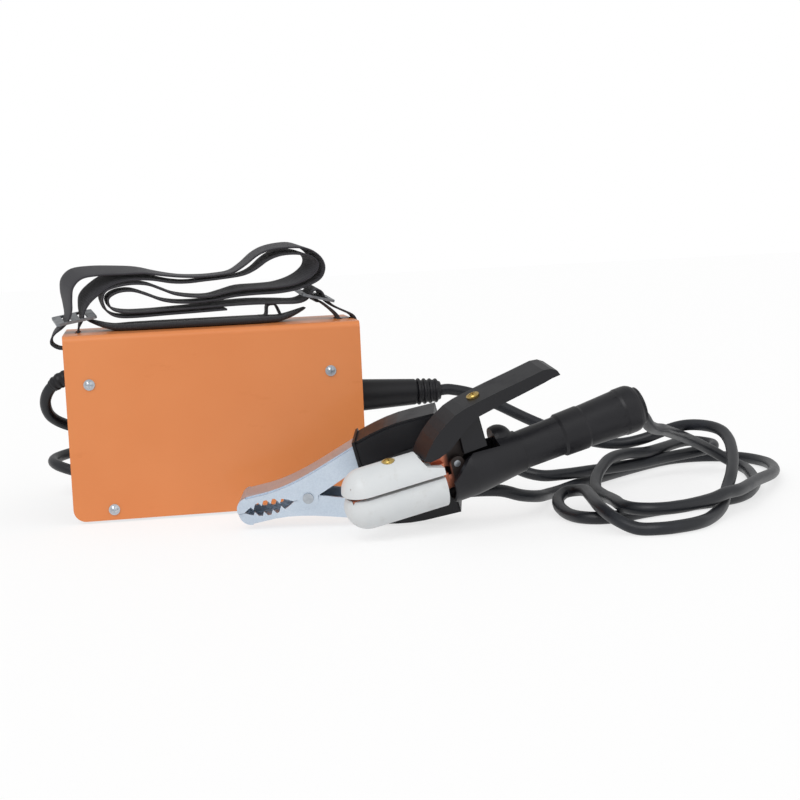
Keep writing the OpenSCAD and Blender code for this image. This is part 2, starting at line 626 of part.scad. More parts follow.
holder_at = [156, -205, 41];
holder_turn = [12, -15.5, 6];
jaw_tilt = 4;
jaw_l = 74;
gap_h = 8.8;                              // height of the jaws' gap above the handle's axis
pin_at = [8, 12];                         // pivot, along and above the holder's axis
collar_l = 58;
holder_l = 158;
gland_a = 128;                            // where the lead leaves the tube's open rear end
core_r = 8;
arm_w = 6;
slot_half = 10.4;

module in_holder() translate(holder_at) rotate(holder_turn) children();
module in_jaws() in_holder() rotate([0, jaw_tilt, 0]) children();
function holder_point(v) = holder_at + turn(v, holder_turn);

module holder_tube() color("#232327") in_holder() rotate([0, 90, 0]) difference() {
    rotate_extrude() polygon(concat(
        [[0, collar_l + fit], [waist_r, collar_l + fit], [waist_r + 0.4, 90], [waist_r + 1.8, 92],
         [waist_r + 2.2, 109], [waist_r + 1.6, 111], [rear_r - 0.6, 140], [rear_r, 142],
         [rear_r, holder_l - 9]],
        [for (a = [15:15:60]) [rear_r - 9 + 9 * cos(a), holder_l - 9 + 9 * sin(a)]],
        [[rear_r - 6, holder_l], [rear_r - 3.8, holder_l], [rear_r - 6, gland_a + 16],
         [rear_r - 6, gland_a], [0, gland_a]]));
    translate([0, 0, collar_l - 1]) cylinder(r = core_r + 0.5, h = 40);
    for (i = [0:13], z = [[collar_l + 5, 26, waist_r + 0.2], [113, 26, rear_r - 0.9]])
        rotate([0, 0, i * 360 / 14]) translate([z[2], -0.9, z[0]]) cube([3, 1.8, z[1]]);
}

module holder_collar() color("#232327") in_holder() difference() {
    union() {
        rotate([0, 90, 0]) rotate_extrude() difference() {
            polygon([[0, 0], [collar_r - 0.6, 0], [collar_r, 1.5], [collar_r + 0.4, 18],
                [collar_r - 1, 34], [waist_r + 1.6, 54], [waist_r + 1.2, collar_l], [0, collar_l]]);
            translate([0, -1]) square([core_r + 0.2, collar_l + 2]);
            translate([0, -1]) square([collar_r - 3, 17]);
        }
        translate([46, 6, 12]) intersection() {
            sphere(11);
            translate([-4, -14, -4]) cube([24, 24, 24]);
        }
    }
    translate([-1, -slot_half, 4]) cube([43, 2 * slot_half, 30]);
    across_y(60) polygon([[-2, 30], [-2, 1], [6, 7], [16, 14], [26, 18], [30, 30]]);
}

module ear() {
    translate(pin_at) circle(5.5);
    translate([pin_at[0] - 5.5, 0]) square([11, pin_at[1]]);
}

module teeth(h) in_jaws_frame() for (i = [0:5]) translate([-jaw_l + 8 + i * 11, 0, h])
    rotate([0, 45, 0]) cube([2.6, 20, 2.6], center = true);
module in_jaws_frame() rotate([0, jaw_tilt, 0]) children();

module holder_core() color("#b5714f") in_holder() difference() {
    union() {
        difference() {
            translate([-3, 0, 0]) rod_x(2 * core_r, collar_l + 24);
            translate([-4, -arm_w / 2 - 3.4, 1]) cube([24, arm_w + 6.8, 20]);
            translate([40, 0, 0]) rod_x(9, 60);
        }
        for (s = [-1, 1]) translate([0, s * (arm_w / 2 + 4.6), 0]) across_y(2.4) ear();
        in_jaws_frame() translate([-jaw_l, -9, gap_h - 8.2]) cube([jaw_l - 1, 18, 7]);
    }
    translate([pin_at[0], 0, pin_at[1]]) rod_y(holder_pin_d, 60);
    teeth(gap_h - 1.2);
}

// One white half shell: the middle of its round, where it is cut flat, and its rear end.
insulator_nose = 62;
module half_insulator(centre, flat, side, rear) difference() {
    union() {
        translate([-insulator_nose, 0, centre]) rod_x(2 * insulator_r, insulator_nose - rear);
        translate([-insulator_nose, 0, centre]) sphere(insulator_r);
    }
    translate([-100, -40, side > 0 ? flat - 60 : flat]) cube([140, 80, 60]);
    translate([-jaw_l - 0.3, -9.3, flat - 7]) cube([jaw_l + 60, 18.6, 14]);
}

module lower_insulator() color("#dfe1e1") in_jaws() difference() {
    half_insulator(-2.3, gap_h - 1.8, -1, 5);
    translate([-30, 0, 0]) rod_x(2 * core_r + 0.6, 40);
}
module upper_insulator() color("#dfe1e1") in_jaws() difference() {
    half_insulator(gap_h + 0.6, gap_h + 1.6, 1, 5);
    translate([-30, -arm_w / 2 - 0.4, 0]) cube([40, arm_w + 0.8, 24]);
    translate([screw_a, 0, 0]) cylinder(d = 4.4, h = 40);
    translate([screw_a, 0, gap_h + insulator_r - 0.4]) cylinder(d = 10, h = 10);
    across_y(60) polygon([[-21.4, 40], [-20.4, 25], [-16.8, 18.6], [-2, 14.5], [0, 40]]);
}
screw_a = -41;

module upper_jaw() color("#b5714f") in_holder() difference() {
    union() {
        in_jaws_frame() translate([-jaw_l + 1, -9, gap_h + 1.2]) cube([jaw_l - 4, 18, 6]);
        across_y(arm_w) polygon([[-16, 12], [1, 10.6], [8, 6.6], [13.4, 12], [16, 14], [28, 34],
            [42, 44], [42, 50.2], [28, 48.6], [10, 34], [-2, 22], [-16, 18]]);
    }
    translate([pin_at[0], 0, pin_at[1]]) rod_y(holder_pin_d + 2 * run, 60);
    teeth(gap_h + 1.2);
    in_jaws_frame() translate([screw_a, 0, 0]) cylinder(d = 4.4, h = 30);
    at_lever_screw() translate([0, 0, -20]) cylinder(d = 4.4, h = 30);
}

lever_screw_a = 34;
module at_lever_screw() translate([lever_screw_a, 0, 53.55]) rotate([0, -7, 0]) children();

lever_top = [[-16.4, 24.5], [-12, 30.4], [-6, 36.8], [0, 41.5], [6, 45.5], [14, 49.6], [22, 51.8],
    [35, 53.6], [50, 55.3], [68, 57], [86, 59], [92, 58], [96.4, 55]];
lever_under = [[98, 51], [91, 50.6], [84.5, 49.4], [66, 47], [46, 44.6], [31, 42.4], [22, 38],
    [12, 31], [4, 25.5], [-5, 22.6], [-12, 22]];
module holder_lever() color("#232327") in_holder() difference() {
    union() {
        difference() {
            across_y(lever_w) polygon(concat(lever_top, lever_under));
            across_y(lever_w - 5) translate([0.6, -3]) polygon(concat(lever_top, lever_under));
        }
        for (s = [-1, 1]) translate([0, s * (arm_w / 2 + 3.2), 0]) across_y(5)
            polygon([[15, 17], [33, 17], [32, 51], [15, 47]]);
    }
    across_y(arm_w + 0.8) polygon([[-30, 0], [12, 0], [30, 26], [44, 42], [44, 50.5], [28, 49],
        [10, 34.6], [-4, 22], [-30, 21]]);
    across_y(lever_w - 5.02) polygon([[-20, 10], [-9, 20], [3, 27], [9, 32], [-4, 31], [-20, 20]]);
    at_lever_screw() translate([0, 0, -20]) cylinder(d = 4.2, h = 40);
}

module holder_screws() color("#c9ad62") {
    in_jaws() translate([screw_a, 0, gap_h + insulator_r - 0.38]) pan_screw(4, 9.6, 15);
    in_holder() at_lever_screw() pan_screw(3.6, 9.6, 9);
}

module holder_pin() color("#b8bcc0") in_holder() translate([pin_at[0], 0, pin_at[1]])
    rod_y(holder_pin_d, 17.8);

spring_r = 3.9;
module holder_spring() color("#9aa0a6") in_holder() translate([pin_at[0], 0, pin_at[1]])
    tube(concat([[8, 3.9, -6.2]], [for (i = [0:14]) let (a = -40 - i * 45)
        [spring_r * cos(a), 3.9 + i * 0.11, spring_r * sin(a)]]), 0.5, 6, [0, 1, 0]);

// ---------- earth clamp ----------

clamp_at = [63, -134, 26.4];
clamp_turn = [10, -12, -15];
arm_from = -46;                           // where the jaws' round noses start
nose_r = 9.5;
handle_end = 106;
handle_depth = 15;
inner_clamp_w = clamp_w - 2 * clamp_t - 0.6;

module in_clamp() translate(clamp_at) rotate(clamp_turn) children();
function clamp_point(v) = clamp_at + turn(v, clamp_turn);

// Backs of the two arms above and below the rivet's axis.
function arm_back(p, low) = low ? 10.9 + 26 * smooth((p + 33) / 115)
    : 11.6 + 27 * smooth((p + 33) / 120);
arm_ps = [arm_from, -40, -30, -20, -10, 0, 10, 20, 30, 40, 50, 60, 70, 80, 90, 98, handle_end];

module lens(l, h) {
    r = (l * l / 4 + h * h) / (2 * h);
    intersection() {
        translate([0, r - h]) circle(r, $fn = 96);
        translate([0, h - r]) circle(r, $fn = 96);
    }
}

function arm_inner(p, low) = p < 54 ? 8.5 + 8.5 * (p - 30) / 24
    : 17 + (arm_back(handle_end, low) - handle_depth - 17) * (p - 54) / (handle_end - 54);
module nose(low) intersection() {
    translate([arm_from, arm_back(arm_from, low) - nose_r]) circle(nose_r);
    translate([-70, 0.4]) square([70 + arm_from + 0.5, 30]);
}

// The flank of one clamp arm, with its jaw, mouth, teeth and handle.
module arm_flank(low) difference() {
    union() {
        polygon(concat([for (p = arm_ps) [p, arm_back(p, low)]],
            [[handle_end, arm_inner(handle_end, low)], [54, 17], [30, 8.5], [14, 2.4],
             [8, 0.4], [arm_from, 0.4]]));
        nose(low);
        circle(low ? 9 : 7.6);
    }
    difference() {
        translate([-31, 0]) lens(40, 6.4);
        for (i = [0:3]) translate([-43 + i * 7, 4.9 + (i == 0 || i == 3 ? -0.9 : 0.5)])
            polygon([[-3.2, 2.5], [3.2, 2.5], [0, -2.8]]);
    }
    circle(d = rivet_d + 2 * run);
}

module arm_web(low) {
    polygon(concat([for (p = arm_ps) [p, arm_back(p, low)]],
        [for (i = [len(arm_ps) - 1:-1:0]) [arm_ps[i], arm_back(arm_ps[i], low) - clamp_t]]));
    difference() {
        nose(low);
        translate([arm_from, arm_back(arm_from, low) - nose_r]) circle(nose_r - clamp_t);
    }
}

// The arm's pressed section, bent over at both long edges.
module clamp_arm(w, low) {
    intersection() {
        across_y(w) arm_web(low);
        across_y(w - 5) translate([-80, 0]) square([250, 80]);
    }
    for (s = [-1, 1]) translate([0, s * (w - 4) / 2, 0]) across_y(4) difference() {
        translate([0, -1]) arm_web(low);
        translate([-100, -80]) square([400, 80.4]);
    }
    for (s = [-1, 1]) translate([0, s * (w - clamp_t) / 2, 0]) across_y(clamp_t) difference() {
        arm_flank(low);
        translate([-80, 0]) polygon(concat([for (p = arm_ps) [p + 80, arm_back(p, low) - 2]],
            [[240, 90], [0, 90]]));
    }
}

module clamp_upper() color("#aab4be") in_clamp() clamp_arm(clamp_w, false);
module clamp_lower() color("#aab4be") in_clamp() mirror([0, 0, 1]) clamp_arm(inner_clamp_w, true);

module clamp_rivet() color("#c4c9ce") in_clamp() {
    rod_y(rivet_d, clamp_w + 0.1);
    for (s = [-1, 1]) translate([0, s * (clamp_w / 2 + 0.75), 0]) rod_y(rivet_d + 2.2, 1.4);
}

coil_wire = 2;
module clamp_spring() color("#8f969c") in_clamp() tube(concat([[20, -5.5, -9.5], [14, -5.5, -8.6]],
    [for (i = [0:44]) let (a = -64 - i * 45) [6.6 * cos(a), -5.5 + i * 0.25, 6.6 * sin(a)]]),
    coil_wire / 2, 6, [0, 1, 0]);

sleeve_from = 44;
sleeve_ps = [sleeve_from, 52, 60, 70, 80, 90, 98, handle_end];
module sleeve_band(low, grow, a, b) polygon(concat(
    [for (p = sleeve_ps) [sleeve_p(p, a, b), arm_back(p, low) + grow]],
    [for (i = [len(sleeve_ps) - 1:-1:0]) let (p = sleeve_ps[i])
        [sleeve_p(p, a, b), arm_inner(p, low) - grow]]));
function sleeve_p(p, a, b) = p == handle_end ? p + a : p == sleeve_from ? p - b : p;

module sleeve(w, low) difference() {
    union() {
        across_y(w + 2 * sleeve_t - 4) sleeve_band(low, sleeve_t + 0.2, sleeve_t + 0.6, 0);
        across_y(w + 2 * sleeve_t) sleeve_band(low, sleeve_t - 1.6, sleeve_t - 0.6, 0);
        across_y(w + 2 * sleeve_t + 3) intersection() {
            sleeve_band(low, sleeve_t + 1.6, 0, 0);
            translate([sleeve_from - 1, -60]) square([3.2, 120]);
        }
    }
    across_y(w + 0.2) sleeve_band(low, 0.1, 0.1, 5);
}

module sleeve_upper() color("#232327") in_clamp() sleeve(clamp_w, false);
module sleeve_lower() color("#232327") in_clamp() mirror([0, 0, 1]) sleeve(inner_clamp_w, true);

// ---------- leads ----------

boot_end = boot_x + boot_l;
handle_mid = arm_back(handle_end, true) - handle_depth / 2;
earth_start = clamp_point([handle_end + sleeve_t + 0.6, 0, -handle_mid]);
earth_next = clamp_point([handle_end + sleeve_t + 0.6 + lead_d, 0, -handle_mid]);

// From the holder, round the right of the pile, back beneath its near side, round to the left,
// over itself, along the front and up to the upper plug.
electrode_route = concat([holder_point([gland_a, 0, 0]), holder_point([gland_a + lead_d, 0, 0]),
    holder_point([gland_a + 20, 1, -1.5]), holder_point([gland_a + 29, 2.5, -5])], [
    [315, -177, 72], [323, -163, 64], [335, -142, 58], [348, -120, 54], [362, -92, 48],
    [384, -58, 39], [405, -34, 29], [424, -20, 19], [440, -20, 9], [446, -40, 5], [439, -72, 5],
    [427, -112, 5], [409, -148, 5], [392, -170, 5], [372, -181, 5], [350, -188, 5], [328, -195, 5],
    [307, -203, 5], [288, -212, 5], [270, -216, 5], [256, -208, 5], [250, -190, 5], [249, -168, 7],
    [253, -150, 10], [261, -141, 13], [269, -147, 15], [271, -163, 17], [269, -182, 17],
    [266, -204, 17], [264, -230, 15], [269, -252, 10], [280, -264, 5], [295, -271, 5],
    [311, -268, 5], [327, -260, 5], [342, -244, 5], [358, -222, 8], [374, -190, 15],
    [385, -170, 22], [394, -150, 28], [402, -128, 34], [409, -102, 40], [410, -80, 45],
    [403, -61, 47], [391, -45, 46], [378, -33, 41], [360, -26, 34], [340, -22, 31], [318, -18, 34],
    [292, -12, 43], [266, -8, 55], [240, -4, 69], [220, -1, 79]],
    [[boot_end + lead_d, 0, socket_upper_z], [boot_end, 0, socket_upper_z]]);

// From the clamp, along the floor to the far side, round the right of the pile, back over its
// near side, up at the left, over to the right once more and back to the lower plug.
earth_route = concat([earth_start, earth_next], [
    [204, -164, 22], [222, -157, 16], [240, -138, 11], [256, -108, 7], [270, -86, 5],
    [289, -64, 5], [314, -40, 5], [360, 3, 5], [398, 33, 5], [424, 41, 5], [446, 36, 5],
    [466, 18, 5], [474, -15, 5], [463, -62, 7], [441, -112, 11], [410, -160, 15], [380, -205, 17],
    [362, -222, 18], [345, -234, 16], [320, -246, 15], [300, -249, 15], [286, -241, 15],
    [281, -225, 15], [282, -205, 15], [285, -183, 13], [286, -160, 12], [287, -136, 13],
    [294, -112, 17], [305, -90, 22], [319, -69, 26], [338, -50, 26], [360, -35, 24],
    [383, -14, 24], [404, 8, 24], [418, 20, 23], [430, 22, 21], [436, 12, 20], [431, -1, 19],
    [416, -10, 18], [397, -17, 17], [378, -24, 16], [354, -36, 15], [329, -48, 15], [305, -57, 15],
    [280, -66, 15], [260, -71, 16], [245, -62, 20], [236, -42, 27], [227, -20, 33], [215, -5, 37]],
    [[boot_end + lead_d, 0, socket_lower_z], [boot_end, 0, socket_lower_z]]);

module electrode_lead() color("#26272b") tube(curve(electrode_route, 1), lead_d / 2);
module earth_lead() color("#26272b") tube(curve(earth_route, 1), lead_d / 2);

gland_end = -panel_x - gland_l;
coil_at = [-14, 136];
coil_pitch = mains_d + 1.2;
coil_floor = mains_d / 2;
layer = mains_d + 0.9;
coil_rings = 24;
layer_loops = coil_loops / 2;

// The coil's path: in towards the middle on the lower layer, up, and out again on the upper one.
function coil_radius(n) = coil_r - coil_pitch * (n < layer_loops ? n : coil_loops - n);
function coil_height(n) = coil_floor + layer * smooth((n - layer_loops + 0.25) * 2);
coil_path = [for (i = [0:coil_loops * coil_rings])
    let (n = i / coil_rings, a = -90 + 360 * n, r = coil_radius(n))
    [coil_at[0] + r * cos(a), coil_at[1] + r * sin(a), coil_height(n)]];
coil_start = coil_path[0];
coil_finish = coil_path[len(coil_path) - 1];
coil_gap = min([for (i = [0:len(coil_path) - 1], j = [i + coil_rings / 2:1:len(coil_path) - 1])
    norm(coil_path[i] - coil_path[j])]) - mains_d;
echo(least_gap_in_mains_coil = coil_gap);
echo(electrode_lead_length = path_length(electrode_route),
    earth_lead_length = path_length(earth_route), mains_lead_length = path_length(mains_route), coil_length = path_length(coil_path),
    strap_length = path_length(curve(strap_points)));

mains_route = concat([[gland_end, gland_y, gland_z], [gland_end - mains_d, gland_y, gland_z]], [
    [-126, 22, 109], [-135, 28, 101], [-139, 36, 90], [-136, 46, 78], [-125, 57, 69],
    [-106, 66, 62], [-82, 72, 56], [-58, 82, 51], [-38, 102, 46], [-38, 130, 42], [-58, 150, 39],
    [-90, 155, 37], [-120, 142, 34], [-138, 116, 32], [-136, 90, 30], [-118, 73, 25],
    [-90, 66, 18], [-60, 66, 11]],
    [coil_start - [mains_d + 14, 0.4, -0.6], coil_start - [mains_d, 0, 0], coil_start]);
module mains_lead() color("#26272b") tube(curve(mains_route, 1), mains_d / 2);
module mains_coil() color("#26272b") tube(coil_path, mains_d / 2, 6);

plug_r = 18.5;
plug_x = 62;
plug_y = coil_finish[1] + 2;
tail_route = [coil_finish, coil_finish + [mains_d, 0, 0], [30, plug_y - 1, plug_r - 2],
    [plug_x - mains_d, plug_y, plug_r], [plug_x, plug_y, plug_r]];
module mains_tail() color("#26272b") tube(curve(tail_route, 1), mains_d / 2);

mains_pin_d = 4.8;
mains_pin_gap = 19;
module mains_plug() translate([plug_x, plug_y, plug_r]) {
    color("#1f1f23") difference() {
        rotate([0, 90, 0]) rotate_extrude() polygon([[0, 0], [7, 0], [8, 14], [9, 16], [12, 20],
            [plug_r, 34], [plug_r, 52], [0, 52]]);
        for (z = [-1, 1]) translate([44, 0, z * (plug_r + 2.4)]) cube([30, 9, 9], center = true);
    }
    color("#c4c8cc") for (y = [-1, 1]) translate([51, y * mains_pin_gap / 2, 0]) rod_x(mains_pin_d, 20);
}

cover();
base_tray();
front_panel();
rear_panel();
feet();
cover_screws();
panel_screws();
socket_upper();
socket_lower();
current_knob();
potentiometer();
indicator_lamps();
switch_body();
switch_rocker();
fan_frame();
fan_rotor();
fan_guard();
fan_screws();
cord_gland();
earth_stud();
main_board();
board_standoffs();
heatsinks();
transformer();
choke();
capacitors();
rectifier();
control_board();
busbars();
strap();
buckle_left();
buckle_right();
shoulder_pad();
boot_upper();
boot_lower();
plug_pin_upper();
plug_pin_lower();
holder_tube();
holder_collar();
holder_core();
lower_insulator();
upper_jaw();
upper_insulator();
holder_lever();
holder_screws();
holder_pin();
holder_spring();
clamp_lower();
clamp_upper();
clamp_rivet();
clamp_spring();
sleeve_lower();
sleeve_upper();
electrode_lead();
earth_lead();
mains_lead();
mains_coil();
mains_tail();
mains_plug();
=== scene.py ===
import json
import math

import bmesh
import bpy
from mathutils import Euler, Matrix, Vector


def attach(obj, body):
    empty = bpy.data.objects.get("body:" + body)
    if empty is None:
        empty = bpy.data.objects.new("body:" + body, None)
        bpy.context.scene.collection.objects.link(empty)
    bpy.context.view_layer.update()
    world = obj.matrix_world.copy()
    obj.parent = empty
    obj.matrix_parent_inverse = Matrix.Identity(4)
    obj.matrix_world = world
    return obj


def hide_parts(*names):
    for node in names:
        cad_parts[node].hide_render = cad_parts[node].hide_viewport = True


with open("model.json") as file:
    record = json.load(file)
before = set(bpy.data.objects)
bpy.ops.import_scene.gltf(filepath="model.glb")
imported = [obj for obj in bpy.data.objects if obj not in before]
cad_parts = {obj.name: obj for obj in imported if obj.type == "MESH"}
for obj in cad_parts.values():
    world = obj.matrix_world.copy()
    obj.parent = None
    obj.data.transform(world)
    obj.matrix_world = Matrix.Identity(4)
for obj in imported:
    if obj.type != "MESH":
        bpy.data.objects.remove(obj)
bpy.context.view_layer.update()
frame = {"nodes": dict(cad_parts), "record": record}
nodes = frame["nodes"]
mm = 0.001
white = (1, 1, 1, 1)


def makeCamera():
    view = {"place": (-0.06094, -1.37242, 0.22794), "yaw": 9.007, "pitch": 6.172,
            "roll": -2.63, "lens": 74.25, "sensor": 36, "nearest": 0.05, "farthest": 50}
    yaw, pitch, roll = (math.radians(view[k]) for k in ("yaw", "pitch", "roll"))
    ahead = Vector((math.sin(yaw) * math.cos(pitch), math.cos(yaw) * math.cos(pitch),
                    -math.sin(pitch)))
    side = Vector((math.cos(yaw), -math.sin(yaw), 0))
    over = side.cross(ahead)
    right = math.cos(roll) * side + math.sin(roll) * over
    up = -math.sin(roll) * side + math.cos(roll) * over
    data = bpy.data.cameras.new("camera")
    data.lens, data.sensor_width = view["lens"], view["sensor"]
    data.clip_start, data.clip_end = view["nearest"], view["farthest"]
    camera = bpy.data.objects.new("camera", data)
    bpy.context.collection.objects.link(camera)
    camera.matrix_world = (Matrix.Translation(view["place"])
                           @ Matrix((right, up, -ahead)).transposed().to_4x4())
    bpy.context.scene.camera = camera


makeCamera()
print("camera made")


def metres(points):
    return [Vector(p) * mm for p in points]


def turned(point, place, angles):
    turn = Euler([math.radians(a) for a in angles], "XYZ").to_matrix()
    return Vector(place) + turn @ Vector(point)


def throughPoints(points, steps):
    # A smooth curve through the points, cut into steps between each two.
    last = len(points) - 1
    path = []
    for i in range(last):
        b, c = points[i], points[i + 1]
        a = points[i - 1] if i else 2 * b - c
        d = points[i + 2] if i + 2 <= last else 2 * c - b
        for k in range(steps):
            t = k / steps
            path.append(0.5 * (2 * b + (c - a) * t + (2 * a - 5 * b + 4 * c - d) * t ** 2
                               + (3 * b - a - 3 * c + d) * t ** 3))
    path.append(points[last].copy())
    return path


def headingAt(path, i):
    return (path[min(i + 1, len(path) - 1)] - path[max(i - 1, 0)]).normalized()


def bridge(bm, rows, uv, uvAt):
    # Faces from each row of points to the next, with both ends closed.
    count = len(rows[0])
    for i in range(len(rows) - 1):
        for k in range(count):
            n = (k + 1) % count
            face = bm.faces.new((rows[i][k], rows[i][n], rows[i + 1][n], rows[i + 1][k]))
            corners = ((k, i), (k + 1, i), (k + 1, i + 1), (k, i + 1))
            for loop, (column, row) in zip(face.loops, corners):
                loop[uv].uv = uvAt(column, row)
    bm.faces.new(rows[0][::-1])
    bm.faces.new(rows[-1])
    bmesh.ops.recalc_face_normals(bm, faces=bm.faces[:])


def linkMesh(name, bm, smooth=True):
    mesh = bpy.data.meshes.new(name)
    bm.to_mesh(mesh)
    bm.free()
    for face in mesh.polygons:
        face.use_smooth = smooth
    piece = bpy.data.objects.new(name, mesh)
    bpy.context.collection.objects.link(piece)
    return piece


def makeTube(name, path, radiusAt, sides=16):
    bm = bmesh.new()
    uv = bm.loops.layers.uv.new("along")
    across = (path[1] - path[0]).normalized().orthogonal().normalized()
    rings, marks, run = [], [], 0.0
    for i, point in enumerate(path):
        ahead = headingAt(path, i)
        across = (across - ahead * across.dot(ahead)).normalized()
        other = ahead.cross(across)
        if i:
            run += (point - path[i - 1]).length
        radius = radiusAt(run)
        rings.append([bm.verts.new(point + radius * (math.cos(a) * across + math.sin(a) * other))
                      for a in (2 * math.pi * k / sides for k in range(sides))])
        marks.append(run)
    bridge(bm, rings, uv, lambda column, row: (column / sides, marks[row]))
    return linkMesh(name, bm)


def colour(red, green, blue):
    def linear(c):
        c /= 255
        return c / 12.92 if c <= 0.04045 else ((c + 0.055) / 1.055) ** 2.4
    return (linear(red), linear(green), linear(blue), 1)


class Value:
    # A node's output that can be used in sums.
    def __init__(self, finish, socket):
        self.finish, self.socket = finish, socket

    def sum(self, operation, *terms):
        return self.finish.make("ShaderNodeMath", dict(enumerate(terms)), operation=operation)

    def __add__(self, other):
        return self.sum("ADD", self, other)

    def __sub__(self, other):
        return self.sum("SUBTRACT", self, other)

    def __rsub__(self, other):
        return self.sum("SUBTRACT", other, self)

    def __mul__(self, other):
        return self.sum("MULTIPLY", self, other)

    def __gt__(self, other):
        return self.sum("GREATER_THAN", self, other)

    def __pow__(self, other):
        return self.sum("POWER", self, other)

    __radd__ = __add__

    def wave(self):
        return self.sum("SINE", self)


class Finish:
    def __init__(self, name):
        self.material = bpy.data.materials.new(name)
        self.material.use_nodes = True
        self.tree = self.material.node_tree
        self.surface = self.tree.nodes["Principled BSDF"]

    def make(self, kind, inputs=None, output=0, **settings):
        node = self.tree.nodes.new(kind)
        for key, value in settings.items():
            setattr(node, key, value)
        for key, value in (inputs or {}).items():
            self.put(node.inputs[key], value)
        return Value(self, node.outputs[output])

    def put(self, socket, value):
        if isinstance(value, Value):
            self.tree.links.new(value.socket, socket)
        else:
            socket.default_value = value

    def place(self, stretch=(1, 1, 1)):
        at = self.make("ShaderNodeTexCoord", output="Object")
        return self.make("ShaderNodeMapping", {"Vector": at, "Scale": stretch})

    def axes(self, kind="Object"):
        at = self.make("ShaderNodeTexCoord", output=kind)
        parts = self.make("ShaderNodeSeparateXYZ", {0: at})
        return [Value(self, out) for out in parts.socket.node.outputs]

    def noise(self, scale, detail=3, stretch=(1, 1, 1), roughness=0.5):
        return self.make("ShaderNodeTexNoise", {"Vector": self.place(stretch), "Scale": scale,
                                                "Detail": detail, "Roughness": roughness})

    def range(self, value, low, high, start=0.0, end=1.0):
        return self.make("ShaderNodeMapRange", {"Value": value, "From Min": low, "From Max": high,
                                                "To Min": start, "To Max": end})

    def blend(self, factor, first, second):
        return self.make("ShaderNodeMix", {0: factor, 6: first, 7: second}, output=2,
                         data_type="RGBA")

    def set(self, **sockets):
        names = {"base": "Base Color", "roughness": "Roughness", "metallic": "Metallic",
                 "coat": "Coat Weight", "specular": "Specular IOR Level",
                 "sheen": "Sheen Weight", "sheenRoughness": "Sheen Roughness"}
        for key, value in sockets.items():
            self.put(self.surface.inputs[names[key]], value)
        return self

    def bump(self, height, depth, strength):
        normal = self.make("ShaderNodeBump", {"Height": height, "Distance": depth,
                                              "Strength": strength})
        self.put(self.surface.inputs["Normal"], normal)
        return self


def paintedSheet():
    paint = {"tones": ((206, 122, 64), (211, 129, 72)), "scuffed": (195, 110, 52),
             "roughness": 0.36, "rub": 0.06, "scuffRoughness": 0.12, "coat": 0.12,
             "cloudScale": 9, "scuffScale": 26, "rubScale": 160, "peelScale": 620,
             "peelDepth": 0.00004}
    f = Finish("paintedCover")
    peel = f.noise(paint["peelScale"], 2)
    cloud = f.noise(paint["cloudScale"], 3)
    scuff = f.range(f.noise(paint["scuffScale"], 6, (1, 1, 3), 0.7), 0.62, 0.72)
    tone = f.blend(f.range(cloud, 0.3, 0.7), *(colour(*c) for c in paint["tones"]))
    tone = f.blend(scuff * 0.35, tone, colour(*paint["scuffed"]))
    rub = f.range(f.noise(paint["rubScale"], 4), 0.4, 0.7, 0.0, paint["rub"])
    f.set(base=tone, roughness=paint["roughness"] + rub + scuff * paint["scuffRoughness"],
          coat=paint["coat"])
    return f.bump(peel, paint["peelDepth"], 0.6).material


def moulded(name, tone, roughness, grain=900, depth=0.00006):
    wear = {"scale": 45, "share": 0.4, "roughness": 0.12, "lighter": 1.7, "lift": 0.002,
            "dustScale": 14, "dustShare": 0.15, "dustRoughness": 0.05, "specular": 0.32}
    f = Finish(name)
    worn = f.range(f.noise(wear["scale"], 5, (1, 1, 1), 0.65), 0.5, 0.75)
    dust = f.range(f.noise(wear["dustScale"], 4), 0.45, 0.8)
    lighter = tuple(min(1, c * wear["lighter"] + wear["lift"]) for c in tone[:3]) + (1,)
    f.set(base=f.blend(worn * wear["share"] + dust * wear["dustShare"], tone, lighter),
          roughness=roughness + worn * wear["roughness"] - dust * wear["dustRoughness"],
          specular=wear["specular"])
    return f.bump(f.noise(grain, 3), depth, 0.5).material


def metal(name, tone, dark, roughness, stretch=(1, 1, 1)):
    brushed = {"scale": 240, "depth": 0.00002, "metallic": 0.92, "spotScale": 38,
               "spotShare": 0.5, "spotRoughness": 0.06}
    f = Finish(name)
    grain = f.noise(brushed["scale"], 4, stretch)
    spots = f.range(f.noise(brushed["spotScale"], 4), 0.42, 0.72)
    share = spots * brushed["spotShare"] + f.range(grain, 0.35, 0.7, 0, 0.3)
    f.set(base=f.blend(share, tone, dark), metallic=brushed["metallic"],
          roughness=roughness + f.range(grain, 0.3, 0.7, -0.04, 0.08)
          + spots * brushed["spotRoughness"])
    return f.bump(grain, brushed["depth"], 0.5).material


def spangled():
    zinc = {"tones": ((206, 217, 229), (160, 176, 194)), "metallic": 0.82, "roughness": 0.3,
            "cellScale": 700, "cellShare": 0.2, "streakScale": 90, "streaks": (0.3, 1, 3),
            "fogScale": 30, "fogShare": 0.3, "depth": 0.00003}
    f = Finish("clampSteel")
    cells = f.make("ShaderNodeTexVoronoi", {"Vector": f.place(), "Scale": zinc["cellScale"]},
                   output="Distance")
    streak = f.noise(zinc["streakScale"], 5, zinc["streaks"])
    fog = f.range(f.noise(zinc["fogScale"], 4), 0.35, 0.7)
    share = f.range(cells, 0.1, 0.8) * zinc["cellShare"] + fog * zinc["fogShare"]
    f.set(base=f.blend(share, *(colour(*c) for c in zinc["tones"])), metallic=zinc["metallic"],
          roughness=zinc["roughness"] + f.range(streak, 0.3, 0.7, 0, 0.1) + fog * 0.06)
    return f.bump(streak + cells * zinc["cellShare"], zinc["depth"], 0.4).material


